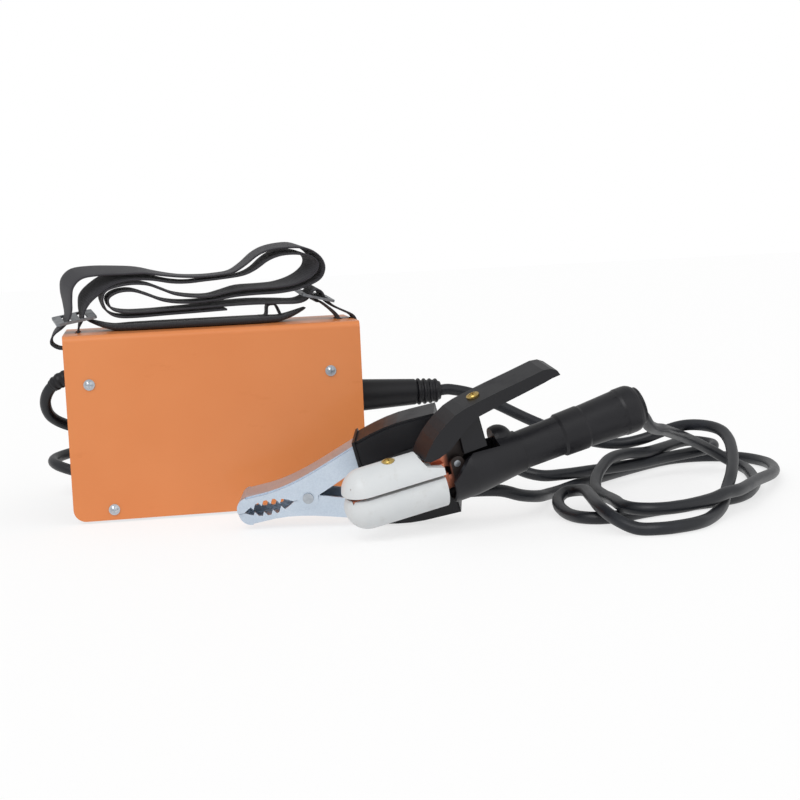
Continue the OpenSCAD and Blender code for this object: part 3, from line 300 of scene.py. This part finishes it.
def woven(name, tones, warpPitch, weftPitch):
    # Ribs run across the strip and the warp's ridges along it; uv is in metres.
    cloth = {"warp": 0.35, "weft": 0.45, "twill": 0.35, "fuzzScale": 900, "fuzz": 0.6,
             "sheen": 0.12, "sheenRoughness": 0.5, "depth": 0.00022}
    f = Finish(name)
    u, v, _ = f.axes("UV")
    warpTurn, weftTurn = 2 * math.pi / warpPitch, 2 * math.pi / weftPitch
    warp = (u * warpTurn).wave()
    weft = (v * weftTurn).wave()
    twill = (u * warpTurn + v * weftTurn).wave()
    ribs = warp * cloth["warp"] + weft * cloth["weft"] + twill * cloth["twill"]
    fuzz = f.noise(cloth["fuzzScale"], 3)
    # The fuzz gives a random tone, and the ribs' crests are painted lighter than their grooves, a
    # painted highlight.
    light = f.range(ribs + fuzz * cloth["fuzz"], -0.6, 1.3)
    f.set(base=f.blend(light, *tones), roughness=f.range(ribs, -1, 1, 0.86, 0.68),
          sheen=cloth["sheen"], sheenRoughness=cloth["sheenRoughness"])
    return f.bump(ribs + fuzz * 0.4, cloth["depth"], 0.9).material


def jacket():
    rubber = {"tones": ((17, 19, 24), (40, 44, 52)), "roughness": 0.38, "specular": 0.4,
              "strands": 9, "twist": 260, "lumpScale": 60, "chalkScale": 24, "grainScale": 700,
              "depth": 0.00012}
    f = Finish("leadJacket")
    u, v, _ = f.axes("UV")
    strands = (u * (2 * math.pi * rubber["strands"]) + v * rubber["twist"]).wave()
    lumps = f.noise(rubber["lumpScale"], 3)
    chalk = f.range(f.noise(rubber["chalkScale"], 5, (1, 1, 1), 0.7), 0.5, 0.8)
    f.set(base=f.blend(chalk * 0.6 + lumps * 0.15, *(colour(*c) for c in rubber["tones"])),
          roughness=rubber["roughness"] + chalk * 0.14 + lumps * 0.06,
          specular=rubber["specular"])
    grain = f.noise(rubber["grainScale"], 2)
    return f.bump(strands * 0.25 + lumps + grain * 0.3, rubber["depth"], 0.5).material


def glazed():
    shell = {"tones": ((206, 208, 209), (194, 198, 200)), "grime": (164, 160, 152),
             "grimeShare": 0.4, "roughness": 0.42, "cloudScale": 40, "grimeScale": 75,
             "grainScale": 300, "depth": 0.00007}
    f = Finish("whiteInsulator")
    cloud = f.noise(shell["cloudScale"], 4)
    grime = f.range(f.noise(shell["grimeScale"], 6, (1, 1, 1), 0.7), 0.56, 0.8)
    tone = f.blend(cloud, *(colour(*c) for c in shell["tones"]))
    f.set(base=f.blend(grime * shell["grimeShare"], tone, colour(*shell["grime"])),
          roughness=shell["roughness"] + grime * 0.2)
    return f.bump(f.noise(shell["grainScale"], 3), shell["depth"], 0.4).material


def lamps():
    # The lamps stand in a row along y: red, then amber, then green.
    row = {"red": (190, 52, 40), "amber": (214, 158, 40), "green": (58, 160, 82),
           "amberFrom": -0.028, "greenFrom": -0.016, "ridges": 5200, "depth": 0.00008}
    f = Finish("lampPlastic")
    _, y, _ = f.axes()
    amber = f.blend(y > row["amberFrom"], colour(*row["red"]), colour(*row["amber"]))
    f.set(base=f.blend(y > row["greenFrom"], amber, colour(*row["green"])),
          roughness=f.range(f.noise(200), 0.3, 0.7, 0.16, 0.26))
    return f.bump((y * row["ridges"]).wave(), row["depth"], 0.4).material


def board():
    resin = {"tones": ((34, 96, 56), (42, 110, 64)), "tracks": (70, 140, 88),
             "trackWidth": 0.03, "scale": 90, "depth": 0.00005}
    f = Finish("circuitBoard")
    dark, light = (colour(*c) for c in resin["tones"])
    tracks = f.make("ShaderNodeTexBrick", {
        "Vector": f.place(), "Scale": resin["scale"], "Color1": dark, "Color2": light,
        "Mortar": colour(*resin["tracks"]), "Mortar Size": resin["trackWidth"]})
    f.set(base=tracks, roughness=f.range(f.noise(60), 0.3, 0.7, 0.3, 0.45))
    return f.bump(f.noise(300), resin["depth"], 0.4).material


def wound():
    wire = {"tones": ((96, 58, 34), (178, 104, 56)), "turns": 4200, "metallic": 0.3,
            "depth": 0.0003}
    f = Finish("windingParts")
    _, _, z = f.axes()
    turns = (z * wire["turns"]).wave()
    # The turns are painted darker in the grooves between them and lighter on their crests, a
    # painted shade and highlight.
    f.set(base=f.blend(f.range(turns, -1, 1), *(colour(*c) for c in wire["tones"])),
          roughness=f.range(f.noise(120), 0.3, 0.7, 0.35, 0.5), metallic=wire["metallic"])
    return f.bump(turns, wire["depth"], 0.8).material


def copperCore():
    # Bright at the jaws, and darkened with painted shade behind the plane that the pivot's ears
    # start at.
    core = {"tones": ((204, 126, 98), (150, 84, 62)), "paintedShade": (44, 36, 34),
            "along": (0.958, 0.100, 0.267), "shadeFrom": 0.1397, "shadeFade": 0.004,
            "metallic": 0.75, "roughness": 0.4, "grainScale": 150, "spotScale": 38,
            "depth": 0.00012}
    f = Finish("copper")
    x, y, z = f.axes()
    reach = x * core["along"][0] + y * core["along"][1] + z * core["along"][2]
    # Painted shade: past this plane the copper is darker and less metallic.
    paintedShade = f.range(reach, core["shadeFrom"], core["shadeFrom"] + core["shadeFade"])
    grain = f.noise(core["grainScale"], 4)
    spots = f.range(f.noise(core["spotScale"], 4), 0.42, 0.72)
    tone = f.blend(spots * 0.5 + f.range(grain, 0.35, 0.7, 0, 0.3),
                   *(colour(*c) for c in core["tones"]))
    f.set(base=f.blend(paintedShade, tone, colour(*core["paintedShade"])),
          metallic=core["metallic"] - paintedShade * 0.4, roughness=core["roughness"] + paintedShade * 0.15)
    return f.bump(grain, core["depth"], 0.5).material


def panelSocket():
    # Black housing round a brass bush on each of the two sockets' axes.
    socket = {"heights": (0.084, 0.038), "bush": 0.0076, "brass": (206, 178, 104),
              "housing": (22, 22, 26), "metallic": 0.9, "roughness": 0.3, "grainScale": 500,
              "depth": 0.00005}
    f = Finish("panelSocket")
    _, y, z = f.axes()
    housing = 1.0
    for height in socket["heights"]:
        away = (y * y + (z - height) * (z - height)) ** 0.5
        housing = (away > socket["bush"]) * housing
    grain = f.noise(socket["grainScale"], 3)
    f.set(base=f.blend(housing, colour(*socket["brass"]), colour(*socket["housing"])),
          metallic=socket["metallic"] - housing * socket["metallic"],
          roughness=socket["roughness"] + housing * 0.12 + grain * 0.05)
    return f.bump(grain, socket["depth"], 0.5).material


finishes = {
    "painted_cover": paintedSheet(),
    "sheet_steel": metal("sheetSteel", colour(178, 183, 188), colour(140, 146, 152), 0.34),
    "black_plastic": moulded("blackPlastic", colour(20, 20, 24), 0.4),
    "black_rubber": moulded("blackRubber", colour(18, 18, 22), 0.42, 620, 0.00009),
    "screw_steel": metal("screwSteel", colour(196, 202, 208), colour(140, 146, 154), 0.26),
    "brass": metal("brass", colour(206, 178, 104), colour(150, 122, 66), 0.28),
    "red_plastic": moulded("redPlastic", colour(158, 40, 34), 0.36),
    "lamp_plastic": lamps(),
    "circuit_board": board(),
    "aluminium": metal("aluminium", colour(200, 204, 208), colour(164, 170, 176), 0.36, (1, 1, 9)),
    "winding_parts": wound(),
    "copper": copperCore(),
    "capacitor_sleeve": moulded("capacitorSleeve", colour(46, 64, 118), 0.32),
    "webbing": woven("webbing", (colour(10, 10, 14), colour(44, 43, 51)), 0.0022, 0.0017),
    "pad_fabric": woven("padFabric", (colour(13, 13, 16), colour(42, 42, 48)), 0.0015, 0.0015),
    "buckle_steel": metal("buckleSteel", colour(132, 136, 140), colour(84, 88, 94), 0.38),
    "white_insulator": glazed(),
    "clamp_steel": spangled(),
    "lead_jacket": jacket(),
}
for row in frame["record"]["subparts"]:
    piece = nodes[row["node"]]
    if not piece.material_slots:
        piece.data.materials.append(None)
    for place in piece.material_slots:
        place.material = finishes[row["material_slot"]]
socketFinish = panelSocket()
for name in ("socket_upper", "socket_lower"):
    nodes[name].material_slots[0].material = socketFinish
print("finishes on the CAD nodes")


def finish(piece, slot, replaced=()):
    piece.data.materials.clear()
    piece.data.materials.append(finishes[slot])
    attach(piece, "case")
    if replaced:
        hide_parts(*replaced)
    return piece


# Sizes and points below are in mm, and the lengths of the cords and the strap in metres.
leads = {"diameter": 9.4, "holderAt": (156, -205, 41), "holderTurn": (12, -15.5, 6),
         "holderExit": ((128, 0, 0), (137.4, 0, 0), (148, 1, -1.5), (157, 2.5, -5)),
         "clampAt": (63, -134, 26.4), "clampTurn": (10, -12, -15), "lowerHandle": 29.4,
         "handleEnd": 108.8, "bootEnd": 191.3, "upperSocket": 84, "lowerSocket": 38, "steps": 8}
holderEnd = [turned(p, leads["holderAt"], leads["holderTurn"]) for p in leads["holderExit"]]
clampEnd = [turned((x, 0, -leads["lowerHandle"]), leads["clampAt"], leads["clampTurn"])
            for x in (leads["handleEnd"], leads["handleEnd"] + leads["diameter"])]
electrodePile = [
    (315, -177, 72), (323, -163, 64), (335, -142, 58), (348, -120, 54), (362, -92, 48),
    (384, -58, 39), (405, -34, 29), (424, -20, 19), (440, -20, 9), (446, -40, 5), (439, -72, 5),
    (427, -112, 5), (409, -148, 5), (392, -170, 5), (372, -181, 5), (350, -188, 5), (328, -195, 5),
    (307, -203, 5), (288, -212, 5), (270, -216, 5), (256, -208, 5), (250, -190, 5), (249, -168, 7),
    (253, -150, 10), (261, -141, 13), (269, -147, 15), (271, -163, 17), (269, -182, 17),
    (266, -204, 17), (264, -230, 15), (269, -252, 10), (280, -264, 5), (295, -271, 5),
    (311, -268, 5), (327, -260, 5), (342, -244, 5), (358, -222, 8), (374, -190, 15),
    (385, -170, 22), (394, -150, 28), (402, -128, 34), (409, -102, 40), (410, -80, 45),
    (403, -61, 47), (391, -45, 46), (378, -33, 41), (360, -26, 34), (340, -22, 31), (318, -18, 34),
    (292, -12, 43), (266, -8, 55), (240, -4, 69), (220, -1, 79)]
earthPile = [
    (204, -164, 22), (222, -157, 16), (240, -138, 11), (256, -108, 7), (270, -86, 5),
    (289, -64, 5), (314, -40, 5), (360, 3, 5), (398, 33, 5), (424, 41, 5), (446, 36, 5),
    (466, 18, 5), (474, -15, 5), (463, -62, 7), (441, -112, 11), (410, -160, 15), (380, -205, 17),
    (362, -222, 18), (345, -234, 16), (320, -246, 15), (300, -249, 15), (286, -241, 15),
    (281, -225, 15), (282, -205, 15), (285, -183, 13), (286, -160, 12), (287, -136, 13),
    (294, -112, 17), (305, -90, 22), (319, -69, 26), (338, -50, 26), (360, -35, 24),
    (383, -14, 24), (404, 8, 24), (418, 20, 23), (430, 22, 21), (436, 12, 20), (431, -1, 19),
    (416, -10, 18), (397, -17, 17), (378, -24, 16), (354, -36, 15), (329, -48, 15), (305, -57, 15),
    (280, -66, 15), (260, -71, 16), (245, -62, 20), (236, -42, 27), (227, -20, 33), (215, -5, 37)]


def bootEnds(height):
    return [(leads["bootEnd"] + leads["diameter"], 0, height), (leads["bootEnd"], 0, height)]


def makeLead(name, route, node):
    path = throughPoints(metres(route)[::-1], leads["steps"])
    radius = leads["diameter"] * mm / 2
    lead = finish(makeTube(name, path, lambda run: radius), "lead_jacket", [node])
    print(name, "made")


makeLead("electrodeLead", holderEnd + electrodePile + bootEnds(leads["upperSocket"]),
         "electrode_lead")
makeLead("earthLead", clampEnd + earthPile + bootEnds(leads["lowerSocket"]),
         "earth_lead")

mains = {"diameter": 9.4, "glandEnd": (-106, 20, 112), "coilMiddle": (-14, 136),
         "coilRadius": 64, "coilPitch": 10.6, "coilLayer": 10.3, "loops": 4,
         "pointsPerLoop": 24, "climb": 0.5, "approach": 14, "approachLean": (0.4, -0.6),
         "beforePlug": (30, 73, 16.5), "plug": (62, 74, 18.5), "steps": 5,
         "length": 1.92}  # what the route and the coil come to
mainsFall = [
    (-126, 22, 109), (-135, 28, 101), (-139, 36, 90), (-136, 46, 78), (-125, 57, 69),
    (-106, 66, 62), (-82, 72, 56), (-58, 82, 51), (-38, 102, 46), (-38, 130, 42), (-58, 150, 39),
    (-90, 155, 37), (-120, 142, 34), (-138, 116, 32), (-136, 90, 30), (-118, 73, 25),
    (-90, 66, 18), (-60, 66, 11)]
# The ribbed relief on the gland is in metres.
relief = {"length": 0.028, "startRadius": 0.0078, "endRadius": 0.0054, "ribs": 6,
          "ribHeight": 0.0005, "ribbedShare": 0.97, "finer": 4, "sides": 24}


def coilPath():
    # Spirals in and out again, and climbs a layer in the half turn where it reverses.
    path = []
    for i in range(mains["loops"] * mains["pointsPerLoop"] + 1):
        n = i / mains["pointsPerLoop"]
        angle = math.radians(360 * n - 90)
        inner = n if n < mains["loops"] / 2 else mains["loops"] - n
        radius = mains["coilRadius"] - mains["coilPitch"] * inner
        t = (n - mains["loops"] / 2 + mains["climb"] / 2) / mains["climb"]
        t = min(max(t, 0), 1)
        height = mains["diameter"] / 2 + mains["coilLayer"] * t * t * (3 - 2 * t)
        path.append((mains["coilMiddle"][0] + radius * math.cos(angle),
                     mains["coilMiddle"][1] + radius * math.sin(angle), height))
    return path


def reliefRadius(run):
    t = run / relief["length"]
    ribbed = math.sin(t * relief["ribs"] * 2 * math.pi) > 0 and t < relief["ribbedShare"]
    return (relief["startRadius"] + (relief["endRadius"] - relief["startRadius"]) * t
            + relief["ribHeight"] * ribbed)


def makeRelief(path):
    fine = []
    for a, b in zip(path, path[1:]):
        fine += [a.lerp(b, k / relief["finer"]) for k in range(relief["finer"])]
    run, part = 0.0, [fine[0]]
    for a, b in zip(fine, fine[1:]):
        run += (b - a).length
        if run > relief["length"]:
            break
        part.append(b)
    return finish(makeTube("mainsRelief", part, reliefRadius, relief["sides"]), "black_rubber")


def makeMains():
    d = mains["diameter"]
    straight = Vector((d, 0, 0))
    gland, plug = Vector(mains["glandEnd"]), Vector(mains["plug"])
    coil = [Vector(p) for p in coilPath()]
    route = [gland, gland - straight, *[Vector(p) for p in mainsFall],
             coil[0] - Vector((d + mains["approach"], *mains["approachLean"])),
             coil[0] - straight, *coil, coil[-1] + straight,
             Vector(mains["beforePlug"]), plug - straight, plug]
    path = throughPoints(metres(route), mains["steps"])
    lead = finish(makeTube("mainsLead", path, lambda run: d * mm / 2), "lead_jacket",
                  ["mains_lead", "mains_coil", "mains_tail"])
    makeRelief(path)
    print("mainsLead made")


makeMains()
print("cords made")

strap = {"width": 30, "thickness": 1.6, "length": 1.3, "across": 0.94, "edgeInset": 0.35,
         "edgeRise": 0.8, "flatInset": 1.2, "steps": 4}
# Each point is x and z, then how far the strip's width leans back along x and up.
strapRun = [
    (13, 163.4, 0.1, 0.05), (-10, 162.7, 0.1, 0.05), (-36, 162, 0.1, 0.05),
    (-60, 161.2, 0.1, 0.05), (-75, 162, 0.1, 0.05), (-83, 166.3, 0.1, 0.05),
    (-86.4, 173, 0.1, 0.05), (-86.8, 178.6, 0.12, 0.05), (-84, 183.4, 0.12, 0.05),
    (-76, 186.4, 0.12, 0.05), (-63, 188.2, 0.12, 0.06), (-50, 186.9, 0.12, 0.06),
    (-38, 182, 0.1, 0.05), (-28, 177.8, 0.1, 0.05), (-14, 175.2, 0.1, 0.05),
    (0, 174.6, 0.1, 0.05), (12, 177, 0.12, 0.06), (26, 179.6, 0.2, 0.1), (44, 180, 0.25, 0.11),
    (58, 180.6, 0.28, 0.12), (70, 183.2, 0.31, 0.14), (79.6, 187.6, 0.34, 0.15),
    (85.6, 193.6, 0.34, 0.15), (86.2, 200, 0.34, 0.15), (80.6, 205, 0.33, 0.15),
    (70, 207.2, 0.31, 0.14), (58, 206.4, 0.26, 0.1), (48, 202.2, 0.18, 0.05),
    (38, 195, 0.12, 0.03), (28, 190.8, 0.1, 0.03), (12, 188.8, 0.1, 0.03),
    (-4, 187.8, 0.1, 0.04), (-18, 187, 0.13, 0.05), (-32, 188.4, 0.18, 0.1),
    (-48, 192.2, 0.26, 0.17), (-64, 193.8, 0.32, 0.23), (-80, 191.4, 0.35, 0.25),
    (-92, 184.4, 0.35, 0.25), (-100, 177, 0.3, 0.22), (-103, 169, 0.18, 0.14),
    (-103.6, 162, 0.1, 0.1), (-106, 155, 0.03, 0.03), (-107, 149, 0, 0), (-107.6, 143.4, 0, 0),
    (-113, 138.8, 0, 0), (-122, 138, 0, 0), (-128.6, 142.6, 0, 0), (-126.4, 150, 0.03, 0.03),
    (-120, 156, 0.08, 0.08), (-115.4, 162, 0.12, 0.12), (-114.2, 171, 0.25, 0.2),
    (-114.6, 181, 0.33, 0.25), (-113, 190.5, 0.35, 0.25), (-105, 197.6, 0.35, 0.25),
    (-90, 199.2, 0.35, 0.25), (-72, 198.8, 0.33, 0.23), (-54, 197.8, 0.27, 0.17),
    (-38, 194.4, 0.2, 0.1), (-22, 191.8, 0.14, 0.05), (-6, 190.9, 0.1, 0.04),
    (8, 191.5, 0.1, 0.03), (20, 193.2, 0.1, 0.03), (30, 199, 0.12, 0.03), (40, 206.6, 0.16, 0.04),
    (50, 210.8, 0.22, 0.07), (62, 212.4, 0.28, 0.12), (74, 212.2, 0.32, 0.15),
    (83, 208.8, 0.34, 0.15), (89.6, 202.6, 0.34, 0.15), (91.8, 195, 0.34, 0.15),
    (88.6, 187, 0.33, 0.15), (80, 181.8, 0.31, 0.14), (68, 177.8, 0.28, 0.12),
    (54, 175.8, 0.25, 0.11), (36, 175.4, 0.2, 0.1), (20, 174.2, 0.15, 0.07),
    (6, 171.8, 0.1, 0.05), (-8, 170.6, 0.1, 0.05), (-24, 170.8, 0.1, 0.05),
    (-38, 173.2, 0.1, 0.05), (-50, 178.2, 0.1, 0.05), (-62, 182.4, 0.12, 0.06),
    (-73, 182.2, 0.12, 0.05), (-80.8, 178.6, 0.1, 0.05), (-82.4, 173.8, 0.1, 0.05),
    (-78.6, 167.8, 0.1, 0.05), (-68, 165, 0.1, 0.05), (-52, 164.6, 0.1, 0.05),
    (-34, 165.2, 0.1, 0.05), (-12, 166, 0.12, 0.07), (10, 167.2, 0.14, 0.1),
    (34, 167.8, 0.14, 0.12), (56, 167, 0.12, 0.11), (70, 166.4, 0.1, 0.09),
    (77.4, 168, 0.1, 0.09), (81.8, 171.6, 0.1, 0.09), (84.4, 175.4, 0.1, 0.09),
    (88.4, 176.4, 0.1, 0.09), (92.2, 173.6, 0.1, 0.08), (94.8, 168.4, 0.08, 0.06),
    (100, 162.8, 0.05, 0.04), (106, 159, 0.03, 0.02), (112.4, 155.8, 0, 0),
    (118.6, 152.2, 0, 0), (120.8, 147, 0, 0), (118.6, 142.4, 0, 0), (112, 141, 0, 0),
    (107.4, 144, 0, 0), (106.6, 151, 0, 0), (102, 156.8, 0.02, 0.02), (96, 162, 0.04, 0.04),
    (91, 165.6, 0.08, 0.06), (87, 166.4, 0.08, 0.06)]


def makeStrap():
    points = throughPoints([Vector(p) for p in strapRun], strap["steps"])
    half, thick = strap["width"] / 2, strap["thickness"] / 2
    edge, flat, rise = strap["edgeInset"], strap["flatInset"], thick * strap["edgeRise"]
    outline = [(-half, 0), (-half + edge, rise), (-half + flat, thick), (-half / 2, thick),
               (0, thick), (half / 2, thick), (half - flat, thick), (half - edge, rise)]
    outline += [(-s, -t) for s, t in outline]
    bm = bmesh.new()
    uv = bm.loops.layers.uv.new("weave")
    rows, marks, run = [], [], 0.0
    spots = [Vector((p[0], 0, p[1])) for p in points]
    for i, point in enumerate(points):
        width = Vector((-point[2], strap["across"], point[3])).normalized()
        face = width.cross(headingAt(spots, i)).normalized()
        if i:
            run += (spots[i] - spots[i - 1]).length
        rows.append([bm.verts.new((spots[i] + s * width + t * face) * mm) for s, t in outline])
        marks.append(run * mm)
    bridge(bm, rows, uv,
           lambda column, row: (outline[column % len(outline)][0] * mm, marks[row]))
    piece = finish(linkMesh("strapWebbing", bm), "webbing", ["strap"])
    print("strapWebbing is", round(run), "mm long")


pad = {"length": 180, "width": 52, "thickness": 5, "middle": -10, "top": 150, "gap": 0.4,
       "endRadius": 170, "endReach": 7, "tipReach": 3, "lift": 9, "liftFrom": 0.72,
       "liftPower": 1.6, "thinning": 0.6, "thinPower": 8, "hem": 4.5, "hemDip": 0.35,
       "hemWidth": 0.8, "fill": 0.7, "along": 60, "across": 18,
       "merge": 0.00002}  # in metres


def makePad():
    # Two skins that meet at the hem, pressed in by the stitch line and lifted at both ends.
    bm = bmesh.new()
    uv = bm.loops.layers.uv.new("weave")
    halfL, halfW = pad["length"] / 2, pad["width"] / 2

    def spot(u, w, over):
        x = u * halfL
        arc = math.sqrt(max(pad["endRadius"] ** 2 - x * x, 0))
        reach = min(halfW, arc - (pad["endRadius"] - halfW - pad["endReach"]))
        reach = max(reach, pad["tipReach"])
        near = min((1 - abs(w)) * reach, (1 - abs(u)) * halfL)
        swell = min(near / pad["hem"], 1)
        swell = math.sqrt(max(1 - (1 - swell) ** 2, 0))
        dip = pad["hemDip"] * math.exp(-((near - pad["hem"]) / pad["hemWidth"]) ** 2)
        raised = max(abs(u) - pad["liftFrom"], 0) / (1 - pad["liftFrom"])
        lift = pad["lift"] * raised ** pad["liftPower"]
        thick = pad["thickness"] * (1 - pad["thinning"] * abs(u) ** pad["thinPower"])
        middle = lift + pad["gap"] + thick / 2
        height = middle + (1 if over else -1) * (thick / 2 * swell - dip)
        return Vector((pad["middle"] + x, w * reach, pad["top"] + height)) * mm

    def closerToEnds(i, count):
        return math.sin(math.pi * (2 * i / count - 1) / 2)

    along, across = pad["along"], pad["across"]
    for over in (True, False):
        grid = [[bm.verts.new(spot(closerToEnds(i, along), closerToEnds(j, across), over))
                 for j in range(across + 1)] for i in range(along + 1)]
        for i in range(along):
            for j in range(across):
                ring = [grid[i][j], grid[i + 1][j], grid[i + 1][j + 1], grid[i][j + 1]]
                face = bm.faces.new(ring if over else ring[::-1])
                for loop in face.loops:
                    loop[uv].uv = (loop.vert.co.y, loop.vert.co.x)
    bmesh.ops.remove_doubles(bm, verts=bm.verts[:], dist=pad["merge"])
    bmesh.ops.recalc_face_normals(bm, faces=bm.faces[:])
    piece = finish(linkMesh("shoulderPad", bm), "pad_fabric", ["shoulder_pad"])


def makeKeeper():
    # The loop of webbing sewn across the pad that holds the strap's plies.
    keeper = {"x": 47, "base": 155, "width": 24, "thickness": 1.2, "steps": 4,
              "line": ((-6, 0.3), (-1, 0.5), (0.4, 3), (0.8, 7.6), (2.4, 9.4), (7, 9.4),
                       (9, 7.6), (11, 3), (12.6, 0.6), (18, 0.3)),
              "outline": ((-1, 1), (-0.5, 1), (0, 1), (0.5, 1), (1, 1), (1, -1), (0, -1),
                          (-1, -1))}
    path = throughPoints([Vector((keeper["x"] + x, 0, keeper["base"] + z))
                          for x, z in keeper["line"]], keeper["steps"])
    bm = bmesh.new()
    uv = bm.loops.layers.uv.new("weave")
    rows = []
    half = keeper["width"] / 2
    for i, p in enumerate(path):
        out = Vector((0, 1, 0)).cross(headingAt(path, i)) * -0.5 * keeper["thickness"]
        rows.append([bm.verts.new((p + Vector((0, s * half, 0)) + t * out) * mm)
                     for s, t in keeper["outline"]])

    def uvAt(column, row):
        x, y, z = rows[row][column % len(rows[row])].co
        return y, x + z

    bridge(bm, rows, uv, uvAt)
    finish(linkMesh("padKeeper", bm), "webbing")


makeStrap()
makePad()
makeKeeper()
print("strap and pad made")


def makeStage():
    # The camera sees a white room, and everything else is lit by a dimmer one.
    stage = {"half": 6, "floor": (0.97, 0.97, 0.97, 1), "roughness": 0.7, "shade": 0.3,
             "room": 0.66, "suns": (("key", 1.35, 40, (48, 0, -32)),
                                    ("fill", 0.5, 70, (62, 0, 48)))}
    bm = bmesh.new()
    bmesh.ops.create_grid(bm, x_segments=2, y_segments=2, size=stage["half"])
    floor = linkMesh("floor", bm, False)
    f = Finish("floorWhite")
    f.set(base=stage["floor"], roughness=stage["roughness"])
    rays = f.tree.nodes.new("ShaderNodeLightPath")
    seen = (Value(f, rays.outputs["Is Camera Ray"]) + Value(f, rays.outputs["Is Glossy Ray"])
            + Value(f, rays.outputs["Is Transmission Ray"]))
    glow = f.make("ShaderNodeEmission", {"Color": white, "Strength": 1.0})
    surface = Value(f, f.surface.outputs[0])
    both = f.make("ShaderNodeMixShader", {0: seen * (1 - stage["shade"]), 1: surface, 2: glow})
    f.tree.links.new(both.socket, f.tree.nodes["Material Output"].inputs["Surface"])
    floor.data.materials.append(f.material)
    world = bpy.data.worlds.new("room")
    bpy.context.scene.world = world
    world.use_nodes = True
    tree = world.node_tree
    lit = tree.nodes["Background"]
    plain = tree.nodes.new("ShaderNodeBackground")
    for node, strength in ((lit, stage["room"]), (plain, 1.0)):
        node.inputs["Color"].default_value = white
        node.inputs["Strength"].default_value = strength
    mix = tree.nodes.new("ShaderNodeMixShader")
    roomRays = tree.nodes.new("ShaderNodeLightPath")
    tree.links.new(roomRays.outputs["Is Camera Ray"], mix.inputs[0])
    tree.links.new(lit.outputs[0], mix.inputs[1])
    tree.links.new(plain.outputs[0], mix.inputs[2])
    tree.links.new(mix.outputs[0], tree.nodes["World Output"].inputs["Surface"])
    for name, strength, spread, turn in stage["suns"]:
        lamp = bpy.data.lights.new(name, "SUN")
        lamp.energy, lamp.angle = strength, math.radians(spread)
        light = bpy.data.objects.new(name, lamp)
        light.rotation_euler = [math.radians(a) for a in turn]
        bpy.context.collection.objects.link(light)


makeStage()
bpy.context.scene.view_settings.view_transform = "Standard"
print("stage made")
